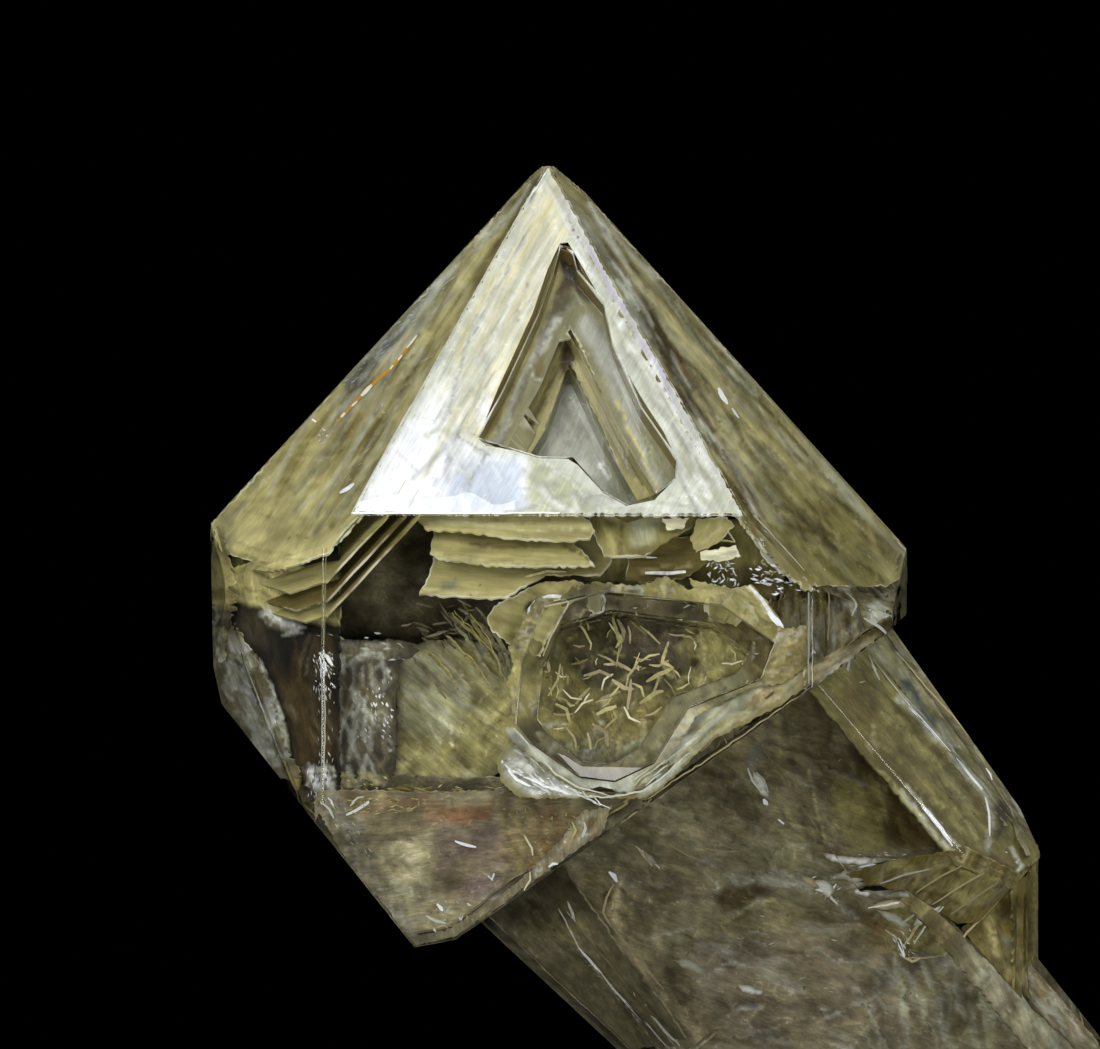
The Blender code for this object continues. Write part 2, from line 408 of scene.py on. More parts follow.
def grown_quartz(name, rough=0.45, specular=0.3, streaks=(0.72, 1.22), grain=(0.86, 1.12), specks=0.69,
                 bump=0.35, glitter_and_crackle=0.0):
    """Growth layer: painted tint, streaks along its growth lines, fine grain, brown specks, an optional
    crackle of dark specks and pale specks painted as glitter, and a pale edge painted as a lit rim.
    """
    material, tree, shader = principled(name, Roughness=rough, IOR=GLASS_IOR, Specular_IOR_Level=specular)
    along = node(tree, "UVMap", uv_map="grain").outputs["UV"]
    place = node(tree, "TexCoord").outputs["Object"]
    coarse = ranged(tree, cloudy(tree, along, 1.6, 6, 0.65, 0.3), 0.3, 0.7, *streaks)
    fine = ranged(tree, cloudy(tree, along, 6.0, 4, 0.6), 0.3, 0.7, *grain)
    light = combined(tree, "MULTIPLY", coarse, fine)
    color = scaled(tree, node(tree, "Attribute", attribute_name="tint").outputs["Color"], light)
    dots = cloudy(tree, place, 1700, 3, 0.6)
    color = scaled(tree, color, ranged(tree, dots, specks, specks + 0.05, 1, 0.45))
    # Pale specks painted as glitter, tiny glints, among dark crackle specks.
    if glitter_and_crackle:
        glitter_and_crackle_noise = cloudy(tree, place, 1100, 4, 0.7, 1.2)
        bright = ranged(tree, glitter_and_crackle_noise, 0.6, 0.68, 1, 1 + glitter_and_crackle)
        dim = ranged(tree, glitter_and_crackle_noise, 0.34, 0.42, 1 - glitter_and_crackle * 0.35, 1)
        color = scaled(tree, color, combined(tree, "MULTIPLY", bright, dim))
    # A pale colour near each sheet's rim, broken up by noise: a painted highlight where its edges catch
    # light.
    rim = node(tree, "Attribute", attribute_name="rim_mm").outputs["Fac"]
    lit_rim_breaks = ranged(tree, cloudy(tree, place, 260, 3, 0.6), 0.4, 0.62, 0.14, 0)
    lit_rim = ranged(tree, combined(tree, "ADD", rim, lit_rim_breaks), 0.02, 0.13, 0.7, 0)
    color = node(tree, "Mix", {"Factor": lit_rim, "A": color}, data_type="RGBA",
                 B=(0.74, 0.72, 0.56, 1)).outputs["Result"]
    tree.links.new(color, shader.inputs["Base Color"])
    relief = node(tree, "Bump", {"Height": light}, Strength=bump, Distance=0.12 * MM)
    tree.links.new(relief.outputs["Normal"], shader.inputs["Normal"])
    return material


MATERIALS = {
    "growth": grown_quartz("growth_layer", glitter_and_crackle=0.12),
    "frost": grown_quartz("frosted_quartz", rough=0.35, specular=0.45, streaks=(0.85, 1.1), specks=0.74,
                          glitter_and_crackle=0.2),
    "veil": grown_quartz("inner_veil", rough=0.55, streaks=(0.62, 1.35), grain=(0.75, 1.2), specks=0.68,
                         glitter_and_crackle=0.6),
    "glint": grown_quartz("fracture_glint", rough=0.15, specular=0.7, streaks=(0.9, 1.1),
                          grain=(0.95, 1.05), specks=0.9, bump=0.1),
}


# ---------------------------------------------------------------- sealed sheets
NO_RIM = 9.0                             # mm to a rim: too far for the material to paint a lit edge on it
THICK = 0.15                             # mm, of a sheet
RIPPLE_PX = 40                           # pixels from wave to wave of a sheet
ROW_STEP = 0.87                          # rows of an even grid, as a share of its columns' spacing
RIBBON_STEP = 5.0                        # pixels between the corners of a ribbon
FLAKE_CORNERS = 9
FACE_REACH = 70.0                        # mm: a face is cut out of a square that reaches so far each way


def spaced(outline, spacing, closed=True):
    """Points along an outline, about spacing apart, and the sideways direction at each."""
    points, sides = [], []
    outline = [tuple(p) for p in outline]
    ends = outline[1:] + outline[:1] if closed else outline[1:]
    for (ax, ay), (bx, by) in zip(outline, ends):
        length = math.hypot(bx - ax, by - ay)
        if length < 1e-6:
            continue
        steps = max(1, round(length / spacing))
        for k in range(steps):
            points.append((ax + (bx - ax) * k / steps, ay + (by - ay) * k / steps))
            sides.append(((by - ay) / length, (ax - bx) / length) if k else (0, 0))
    if not closed:
        points.append(outline[-1])
        sides.append((0, 0))
    return np.array(points, float), np.array(sides, float)


def trimmed(outline, place, margin, faces=tuple(HEAD_FACES)):
    """An outline cut back where it would come nearer than margin mm to a crystal's faces."""
    for normal, point in (PLANES[name] for name in faces):
        out = (place(outline) - point) @ normal + margin
        kept = []
        for k in range(len(outline)):
            here, ahead = out[k - 1], out[k]
            if here <= 0:
                kept.append(outline[k - 1])
            if (here <= 0) != (ahead <= 0):
                kept.append(outline[k - 1] + (outline[k] - outline[k - 1]) * here / (here - ahead))
        outline = np.array(kept)
    return outline


def triangulated(outline, spacing, rng, holes=()):
    """Evenly spread points inside an outline, the triangles that join them, and distances to the outline."""
    low, high = outline.min(0), outline.max(0)
    rows = np.arange(low[1] + spacing / 2, high[1], spacing * ROW_STEP)
    grid = np.array([(x + (k % 2) * spacing / 2, y) for k, y in enumerate(rows)
                     for x in np.arange(low[0] + spacing / 4, high[0], spacing)], float).reshape(-1, 2)
    grid = grid + rng.uniform(-0.2, 0.2, grid.shape) * spacing
    for shape in (outline, *holes):
        gap, inside = outline_distance(grid, shape)
        grid = grid[(inside if shape is outline else ~inside) & (gap > spacing * 0.45)]
    edges, count = [], len(outline)
    for hole in holes:
        edges += [(count + k, count + (k + 1) % len(hole)) for k in range(len(hole))]
        count += len(hole)
    corners = [Vector(p) for p in np.vstack([outline, *holes, grid])]
    verts, _, faces, _, _, _ = delaunay_2d_cdt(corners, edges, [list(range(len(outline)))], 1, 1e-6)
    points = np.array(verts)
    gap = outline_distance(points, outline)[0]
    middles = np.array([points[list(f)].mean(0) for f in faces])
    keep = np.ones(len(faces), bool)
    for hole in holes:
        gap = np.minimum(gap, outline_distance(points, hole)[0])
        keep &= ~outline_distance(middles, hole)[1]
    return points, [f for f, wanted in zip(faces, keep) if wanted], gap


class Growth:
    """Thin closed sheets, ribbons and splinters of one material, gathered into one piece."""

    def __init__(self, name, material, seed):
        self.name, self.material, self.seed = name, material, seed
        self.rng = np.random.default_rng(seed)
        self.verts, self.faces, self.tints, self.rims, self.grain = [], [], [], [], []
        self.count = 0

    def put(self, verts, faces, tints, grain, rims=None):
        """Adds a closed shape; without rims no lit edge is painted on it."""
        self.faces.extend(tuple(i + self.count for i in f) for f in faces)
        self.verts.append(verts)
        self.tints.append(tints)
        self.rims.append(np.full(len(verts), NO_RIM) if rims is None else rims)
        self.grain.append(grain)
        self.count += len(verts)

    def sheet(self, plane, points, places, faces, rim, base, strokes, grain, ripple, ripple_px, mottle,
              cover=None, ground="smoke"):
        """A closed sheet: points are its photo pixels and places where they lie in the plane."""
        normal = plane[0]
        self.seed += 1
        waves = np.array([noise.noise(Vector((x / ripple_px, y / ripple_px, self.seed * 1.7)))
                          + 0.35 * noise.noise(Vector((x * 3.1 / ripple_px, y * 3.1 / ripple_px, self.seed)))
                          for x, y in points])
        top = places + normal * (waves * ripple)[:, None]
        bottom = top - normal * THICK
        size = len(points)
        rings, edges = [], set()
        a, b, c = (top[[face[k] for face in faces]] for k in range(3))
        upward = np.cross(b - a, c - a) @ normal > 0
        for face, up in zip(faces, upward):
            ring = list(face) if up else list(reversed(face))
            rings.append(ring)
            rings.append([i + size for i in reversed(ring)])
            edges.update(zip(ring, ring[1:] + ring[:1]))
        rings += [(b, a, a + size, b + size) for a, b in edges if (b, a) not in edges]
        angle, stretch = grain
        turn = math.radians(angle)
        along = (points[:, 0] * math.cos(turn) + points[:, 1] * math.sin(turn)) * PIXEL / stretch
        across = (points[:, 1] * math.cos(turn) - points[:, 0] * math.sin(turn)) * PIXEL
        uv = np.stack([along, across + self.seed * 3.1], 1)
        colors = painted(points, base, strokes, mottle, self.seed)
        if cover is not None:
            feather = wavering(points, 6, 0.5, self.seed + 5)[:, 0]
            cover = np.clip(cover + feather * (cover < 1), 0, 1)[:, None]
            colors = linear(ground) + (colors - linear(ground)) * cover
        self.put(np.vstack([top, bottom]), rings, np.vstack([colors, colors]), np.vstack([uv, uv]),
                 np.tile(rim, 2))

    def layer(self, face, depth, outline, base, strokes=(), through=None, grain=(90, 5), spacing=4.0,
              fray=1.2, rim=True, ripple=0.05, ripple_px=RIPPLE_PX, mottle=0.12, holes=(),
              trim=tuple(HEAD_FACES), margin=0.3, fade=0, ground="smoke"):
        """A layer depth mm inside a face, with its outline and paint given where they show in the photo.
        With a fade, its paint thins out to the ground tint over so many pixels at its edge."""
        plane = below(face, depth)
        outline = np.array(pairs(outline), float)
        if trim:
            outline = trimmed(outline, lambda pixels: seen(pixels, plane, through or face),
                              min(margin, depth * 0.6), trim)
        edge, sides = spaced(outline, spacing)
        edge = edge + sides * self.rng.uniform(-fray, fray, (len(edge), 1))
        rings = [spaced(np.array(pairs(hole), float), spacing)[0] for hole in holes]
        points, faces, gap = triangulated(edge, spacing, self.rng, rings)
        places = seen(points, plane, through or face)
        sharp = rim and not fade
        self.sheet(plane, points, places, faces, gap * PIXEL if sharp else gap + NO_RIM, base, strokes, grain,
                   ripple, ripple_px, mottle, gap / fade if fade else None, ground)

    def facing(self, face, faces, depth, base, tints, strokes, length, width, angle, margin, spacing=0.45,
               ripple=0.12, mottle=0.25, amount=(0.2, 0.7), rim=False, grain=4):
        """A sheet under a whole face of one crystal, streaked at random. Margin and spacing are in mm."""
        plane = below(face, depth)
        level, slope = plane_axes(plane[0])

        def place(mm):
            return plane[1] + mm[:, :1] * level + mm[:, 1:] * slope

        square = np.array([(-1, -1), (1, -1), (1, 1), (-1, 1)], float) * FACE_REACH
        shape = trimmed(square, place, margin, tuple(name for name in (*faces, "cut") if name != face))
        edge, sides = spaced(shape, spacing)
        edge = edge + sides * self.rng.uniform(-0.15, 0.15, (len(edge), 1))
        mm, triangles, gap = triangulated(edge, spacing, self.rng)
        pixels = mm / PIXEL * (1, -1)
        region = shape / PIXEL * (1, -1)
        marks = [*scribble(region, strokes, length, width, tints, angle, 0.08, amount, self.seed + 7),
                 *lenses(region, strokes, length * 0.55, 0.3, tints + " ash sand", angle, 0.45, (0.2, 0.7),
                         self.seed + 8)]
        self.sheet(plane, pixels, place(mm), triangles, gap if rim else gap + NO_RIM, base, marks,
                   (angle, grain), ripple, 60, mottle)

    def plate(self, face, depth, outline, base, strokes=()):
        """A flat layer that shows through several faces: each corner is bent by the face it shows in."""
        plane = below(face, depth)
        level, slope = plane_axes(plane[0])

        def place(mm):
            return plane[1] + mm[:, :1] * level + mm[:, 1:] * slope

        outline = pairs(outline)
        corners = np.array([seen([pixel], plane, entry_face(pixel))[0] for pixel in outline])
        flat = np.stack([(corners - plane[1]) @ level, (corners - plane[1]) @ slope], 1)
        shape = np.linalg.lstsq(np.c_[flat, np.ones(len(flat))], np.array(outline, float), rcond=None)[0]
        edge = spaced(trimmed(flat, place, 0.3), 0.35)[0]
        mm, faces, gap = triangulated(edge, 0.35, self.rng)
        self.sheet(plane, np.c_[mm, np.ones(len(mm))] @ shape, place(mm), faces, gap, base, strokes, (170, 8),
                   0.05, RIPPLE_PX, 0.12)

    def ribbon(self, face, depth, points, width, tint, through=None, taper=0.3, waver=0.6, end_depth=None):
        """A thin raised line, width in photo pixels, tapered at both ends."""
        path = spaced(pairs(points), RIBBON_STEP, closed=False)[0]
        path = path + wavering(path, 9, waver, self.seed + self.count)
        share = np.linspace(0, 1, len(path))
        deep = depth + (0 if end_depth is None else end_depth - depth) * share
        ahead = np.gradient(path, axis=0)
        side = np.stack([-ahead[:, 1], ahead[:, 0]], 1) / np.linalg.norm(ahead, axis=1, keepdims=True)
        swell = np.sin(np.pi * np.clip(share, 0.02, 0.98)) ** 0.5
        reach = (width / 2 * (taper + (1 - taper) * swell))[:, None]
        normal = PLANES[face][0]

        def at(pixels, extra):
            flat = seen(pixels, below(face, depth), through or face)
            eye_line = flat - seen(pixels, below(face, depth + 1), through or face)
            return flat - eye_line * (deep - depth)[:, None] - normal * extra

        rows = [at(path + side * reach, 0), at(path - side * reach, 0), at(path, PIXEL * width * 0.6)]
        verts = np.stack(rows, 1).reshape(-1, 3)
        faces = [(0, 1, 2), tuple(len(verts) - 3 + k for k in (2, 1, 0))]
        for k in range(0, len(verts) - 3, 3):
            faces += [(k + a, k + 3 + a, k + 3 + b, k + b) for a, b in ((0, 1), (1, 2), (2, 0))]
        self.put(verts, faces, np.tile(linear(tint), (len(verts), 1)), np.repeat(path, 3, 0) * PIXEL)

    def splinters(self, face, depth, region, count, length, tint, through=None, angle=None, spread=1.0,
                  slim=0.3, tilt=0.5):
        """Small fracture faces scattered in a region; a pale tint paints the glint each one catches. Length
        in photo pixels.
        """
        normal = PLANES[face][0]
        level, slope = plane_axes(normal)
        for spot in scattered(self.rng, np.array(pairs(region), float), count, 6):
            deep = depth + self.rng.uniform(0, spread)
            place = seen([spot], below(face, deep), through or face)[0]
            if not is_sealed(place):
                continue
            if angle is None:
                turn = self.rng.uniform(0, math.pi)
            else:
                turn = math.radians(-angle) + self.rng.normal(0, 0.25)
            long_way = level * math.cos(turn) + slope * math.sin(turn) + normal * self.rng.normal(0, tilt)
            long_way = long_way / np.linalg.norm(long_way)
            side_way = np.cross(long_way, normal + level * self.rng.normal(0, tilt))
            side_way = side_way / np.linalg.norm(side_way)
            size = length * PIXEL * self.rng.uniform(0.35, 1)
            wide = size * slim * self.rng.uniform(0.4, 1)
            bend = side_way * wide * self.rng.uniform(-0.4, 0.4)
            verts = np.array([place - long_way * size / 2, place + side_way * wide / 2 + bend,
                              place + long_way * size / 2, place - side_way * wide / 2 + bend,
                              place - normal * 0.05])
            faces = [(0, 1, 2, 3), (1, 0, 4), (2, 1, 4), (3, 2, 4), (0, 3, 4)]
            shade = linear(tint) * self.rng.uniform(0.65, 1.05)
            self.put(verts, faces, np.tile(shade, (5, 1)), np.tile(spot * PIXEL, (5, 1)))

    def flakes(self, face, depth, region, count, length, tints, ground, angle, wander, slim, strength,
               spread=1.5, tilt=15):
        """Small soft-edged veils scattered in a region: length in photo pixels, angle down to the right."""
        region, tints = np.array(pairs(region), float), tints.split()
        corners = FLAKE_CORNERS
        inner = list(range(corners, 2 * corners))
        faces = [tuple(reversed(range(corners)))]
        for k in range(corners):
            ahead = (k + 1) % corners
            faces += [(k, ahead, inner[ahead], inner[k]), (inner[k], inner[ahead], 2 * corners)]
        for spot in scattered(self.rng, region, count, 8):
            turn = math.radians(angle) + self.rng.normal(0, wander)
            around = (np.arange(corners) + self.rng.uniform(-0.25, 0.25, corners)) * 2 * math.pi / corners
            reach = self.rng.uniform(0.55, 1, corners) * length * self.rng.uniform(0.4, 1) / 2
            thin = slim * self.rng.uniform(0.5, 1)
            along, across = np.cos(around) * reach, np.sin(around) * reach * thin
            ring = np.stack([along * math.cos(turn) - across * math.sin(turn),
                             along * math.sin(turn) + across * math.cos(turn)], 1)
            points = spot + np.vstack([ring, ring * self.rng.uniform(0.5, 0.75), [(0, 0)]])
            if not outline_distance(points, region)[1].all():
                continue
            plane = below(face, depth + self.rng.uniform(0, spread), self.rng.normal(0, tilt, 2), spot)
            places = seen(points, plane, face)
            if not is_sealed(places[-1]):
                continue
            lift = np.repeat((0, 0.08, 0.12), (corners, corners, 1)) * (length * slim * PIXEL)
            share = np.repeat((0, 1, 1), (corners, corners, 1)) * self.rng.uniform(*strength)
            tint = linear(tints[self.rng.integers(len(tints))]) * self.rng.uniform(0.75, 1.1)
            colors = linear(ground) + (tint - linear(ground)) * share[:, None]
            spin = points - spot
            uv = np.stack([(spin[:, 0] * math.cos(turn) + spin[:, 1] * math.sin(turn)) / 5,
                           spin[:, 1] * math.cos(turn) - spin[:, 0] * math.sin(turn)], 1) * PIXEL
            self.put(places + plane[0] * lift[:, None], faces, colors, uv + self.rng.uniform(0, 20, 2))

    def wall(self, face, outline, top, bottom, tint):
        """A band in the quartz round a pit, given in mm right of and down from the growth axis."""
        gap, thick = 0.3, 0.12
        normal, point = PLANES[face]
        level, slope = plane_axes(normal)
        start = TIP - normal * ((TIP - point) @ normal)
        outline = np.array(pairs(outline), float)
        after = np.roll(outline, -1, axis=0)
        area = (outline[:, 0] * after[:, 1] - outline[:, 1] * after[:, 0]).sum()
        ring = spaced(outline, 0.5)[0]
        ahead = np.roll(ring, -1, axis=0) - np.roll(ring, 1, axis=0)
        side = np.stack([ahead[:, 1], -ahead[:, 0]], 1) / np.linalg.norm(ahead, axis=1, keepdims=True)
        side = side if area > 0 else -side
        rows = []
        for out, depth in ((gap, top), (gap + thick, top), (gap + thick, bottom), (gap, bottom)):
            mm = ring + side * out
            rows.append(start + mm[:, :1] * level - mm[:, 1:] * slope - normal * depth)
        verts = np.stack(rows, 1).reshape(-1, 3)
        count = len(ring)
        faces = [(4 * k + a, 4 * k + b, 4 * ((k + 1) % count) + b, 4 * ((k + 1) % count) + a)
                 for k in range(count) for a, b in ((0, 1), (1, 2), (2, 3), (3, 0))]
        self.put(verts, faces, np.tile(linear(tint), (len(verts), 1)), np.repeat(ring, 4, 0))

    def finish(self):
        """Makes the piece, riding on the crystal."""
        places = np.array([sealed(place) for place in np.vstack(self.verts)])
        mesh = bpy.data.meshes.new(self.name)
        mesh.from_pydata((places * MM).tolist(), [], self.faces)
        tint = mesh.attributes.new("tint", "FLOAT_COLOR", "POINT")
        colors = np.c_[np.vstack(self.tints), np.ones(self.count)]
        tint.data.foreach_set("color", colors.astype(np.float32).ravel())
        rim = mesh.attributes.new("rim_mm", "FLOAT", "POINT")
        rim.data.foreach_set("value", np.concatenate(self.rims).astype(np.float32))
        corner = np.zeros(len(mesh.loops), np.int32)
        mesh.loops.foreach_get("vertex_index", corner)
        grain = mesh.uv_layers.new(name="grain")
        grain.uv.foreach_set("vector", np.vstack(self.grain)[corner].astype(np.float32).ravel())
        bm = bmesh.new()
        bm.from_mesh(mesh)
        bmesh.ops.recalc_face_normals(bm, faces=bm.faces[:])
        bm.to_mesh(mesh)
        bm.free()
        mesh.shade_smooth()
        mesh.set_sharp_from_angle(angle=math.radians(40))
        mesh.materials.append(MATERIALS[self.material])
        item = bpy.data.objects.new(self.name, mesh)
        bpy.context.scene.collection.objects.link(item)
        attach(item, "root")


# ---------------------------------------------------------------- the clear crystal
def quartz_glass():
    """Clear quartz, with a faint swell of its faces."""
    material, tree, shader = principled("clear_quartz", Base_Color=(0.97, 0.965, 0.93, 1), Roughness=0.0,
                                        IOR=GLASS_IOR, Transmission_Weight=1.0)
    swell = cloudy(tree, node(tree, "TexCoord").outputs["Object"], 180, 2, 0.5)
    relief = node(tree, "Bump", {"Height": swell}, Strength=0.25, Distance=0.2 * MM)
    tree.links.new(relief.outputs["Normal"], shader.inputs["Normal"])
    return material


def build_crystal():
    """The CAD's solid as clear quartz: its flat faces whole again, its edges rounded off a little."""
    mesh = cad_mesh.copy()
    crystal = bpy.data.objects.new("quartz_body", mesh)
    bpy.context.scene.collection.objects.link(crystal)
    bm = bmesh.new()
    bm.from_mesh(mesh)
    bmesh.ops.remove_doubles(bm, verts=bm.verts[:], dist=1e-6)
    bmesh.ops.dissolve_limit(bm, angle_limit=math.radians(0.4), verts=bm.verts[:], edges=bm.edges[:])
    bm.to_mesh(mesh)
    bm.free()
    mesh.materials.clear()
    mesh.materials.append(quartz_glass())
    bevel = crystal.modifiers.new("edges", "BEVEL")
    bevel.width = 0.12 * MM
    bevel.segments = 2
    bevel.limit_method = "ANGLE"
    bevel.angle_limit = math.radians(12)
    crystal.visible_shadow = False
    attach(crystal, "root")
    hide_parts("quartz_crystals")


build_crystal()


# ---------------------------------------------------------------- growth layers of the head
# From here on outlines, lines and regions are in photo pixels, right and down, unless said otherwise.
WINDOW_RIM = ("560,243 568,242 580,262 596,290 604,312 618,356 640,395 664,432 676,458 668,486 655,500 "
    "626,506 608,494 590,472 566,458 534,454 512,450 486,446 478,438 498,388 533,312 548,268")
# Walls of the CAD's stepped pit: outline in mm right of and down from the growth axis, top, bottom.
WINDOW_WALLS = (
    ("0.8,7.9 1.6,8.5 1.9,10.4 3.6,13.5 4.2,17.7 6.0,24.1 8.3,29.3 8.2,31.4 6.8,33.1 5.1,34.0 3.6,32.7 "
     "1.6,29.3 -0.6,29.2 -4.6,27.3 -2.9,22.5 -0.6,14.8 0.4,10.4", 0.45, 1.4),
    ("1.1,14.6 2.9,19.8 5.2,26.6 7.2,32.0 5.9,33.2 3.7,32.2 1.7,28.7 -0.7,28.6 -3.1,27.9 -0.4,20.2", 1.5,
     2.5),
    ("1.3,17.2 3.6,24.6 6.0,31.4 4.6,32.2 3.6,31.4 1.8,28.0 -0.8,27.8 -1.7,27.4 -0.1,23.4", 2.6, 3.7),
)
# The hollow's edge in the front prism, and the edge of the pit in its floor.
HOLLOW_RIM = ("545,603 601,590 722,603 775,642 761,678 688,707 654,762 615,780 579,776 529,741 515,722 "
    "522,661")
HOLLOW_PIT = ("560,622 610,607 713,620 748,649 738,667 672,692 638,744 609,759 582,756 548,728 537,713 "
    "543,661")


def front_terminal_skin():
    """Milky front face of the tip, a ring round the window, with growth lines parallel to its left edge."""
    skin = Growth("front_terminal_skin", "frost", seed=11)
    skin.layer("front_terminal", 0.3, "548,168 535,190 508,230 440,354 355,512 742,514 700,438 652,352 "
            "606,274 570,206", "mist", [
        patch("cream", 10, "546,186 524,240 510,275 487,325 462,388 452,436 474,446 484,425 520,350 "
            "552,262 562,238 575,240 560,200"),
        patch("butter", 8, "561,240 548,275 526,330 490,408 482,432 496,420 530,345 556,280"),
        patch("milk", 12, "520,236 470,340 400,440 358,511 450,511 450,440 470,360", 0.6),
        # The snow and sky patches paint the sheen of light reflected off the face's lower left.
        patch("snow", 14, "430,394 395,440 357,511 528,511 527,458 474,450 452,420 448,400", 0.9),
        patch("sky", 10, "462,462 520,458 526,510 440,511 446,480", 0.8),
        patch("sage", 10, "529,456 560,470 600,511 529,511", 0.9),
        patch("mist", 8, "606,496 650,505 676,486 712,500 730,511 604,511"),
        patch("ash", 6, "572,236 590,268 604,290 612,320 626,360 650,400 676,440 700,486 712,486 680,420 "
            "640,346 604,280 574,226"),
        patch("lavender", 5, "552,184 580,228 610,280 652,350 694,424 738,508 730,511 686,430 640,350 "
            "600,280 570,226 550,190"),
        line("lead", 6, "538,196 527,226 512,257 501,285 484,316", 0.8),
        line("lead", 2, "479,322 462,362 452,391 450,412 457,434 473,449 487,455", 0.8),
        line("ash", 2, "484,393 471,410 468,427 479,443", 0.8),
        line("lead", 3, "495,371 484,390", 0.9),
        line("milk", 2, "505,250 498,258 508,262", 0.9),
        line("milk", 2, "472,310 478,322 484,326", 0.9),
        line("bronze", 2, "529,280 527,290 523,296", 0.8),
        line("bronze", 2, "519,312 518,322", 0.8),
        patch("white", 6, "482,392 476,420 484,440 492,420 494,400", 0.9),
        line("lead", 2, "448,452 458,464 470,484 478,470 484,454", 0.8),
        line("sage", 5, "424,438 440,430 452,434 464,426", 0.5),
        line("milk", 2, "541,455 562,474 586,498 600,511", 0.9),
        line("ash", 3, "534,462 556,486 584,508", 0.6),
        patch("white", 4, "614,317 622,320 621,328 615,326"),
        patch("white", 4, "627,340 634,345 635,354 628,352"),
        line("white", 2, "574,250 590,274 604,290", 0.8),
        line("cream", 2, "640,360 674,414 700,460", 0.7),
        line("ash", 2, "414,414 436,420 452,412", 0.4),
        *scribble("546,186 500,262 440,372 430,410 446,440 474,440 484,410 540,290 560,236", 90, 150, 4,
            "cream mist sage milk lead butter ash", 118, 0.03, (0.15, 0.65), seed=1),
        *scribble("548,190 572,236 610,306 682,440 696,506 736,510 690,430 606,282", 90, 150, 4,
            "mist sage milk lead ash olive_ash white", 61, 0.03, (0.15, 0.7), seed=2),
        *scribble("440,410 474,434 484,450 470,484 444,470", 26, 16, 3, "sage ash white mist", 80, 0.8,
            (0.15, 0.5), seed=3),
        *scribble("530,462 600,500 720,500 730,511 534,511", 50, 50, 5, "sage mist lead milk ash", 15, 0.4,
            (0.2, 0.6), seed=4),
        # Snow, sky and lavender streaks: more of the painted reflection at the lower left.
        *scribble("400,440 450,450 528,470 528,508 370,508", 30, 40, 5, "snow sky lavender", 70, 0.6,
            (0.2, 0.5), seed=5),
        *lenses("440,366 500,262 530,230 556,200 560,236 520,330 474,440", 40, 60, 0.12,
            "cream milk sage ash", 118, 0.1, (0.2, 0.6), seed=71),
        *lenses("606,500 650,508 680,480 710,480 736,510 600,512", 26, 34, 0.4, "milk sage mist ash", 30,
            0.5, (0.2, 0.7), seed=72),
        *lenses("596,276 612,290 700,450 720,500 690,490", 40, 34, 0.25, "milk sage white ash", 61, 0.2,
            (0.2, 0.7), seed=73)], grain=(119, 9), spacing=2.8, mottle=0.07, holes=[WINDOW_RIM])
    # White and milk ribbons along the face's lower and left edges: painted highlights on its edges.
    skin.ribbon("front_terminal", 0.25, "352,513 560,513", 1.6, "white", taper=0.8)
    skin.ribbon("front_terminal", 0.22, "546,172 532,194 507,234 440,354 356,508", 1.6, "milk", taper=0.6)
    skin.ribbon("front_terminal", 0.2, "352,513 384,451 410,404", 2.2, "white")
    skin.finish()


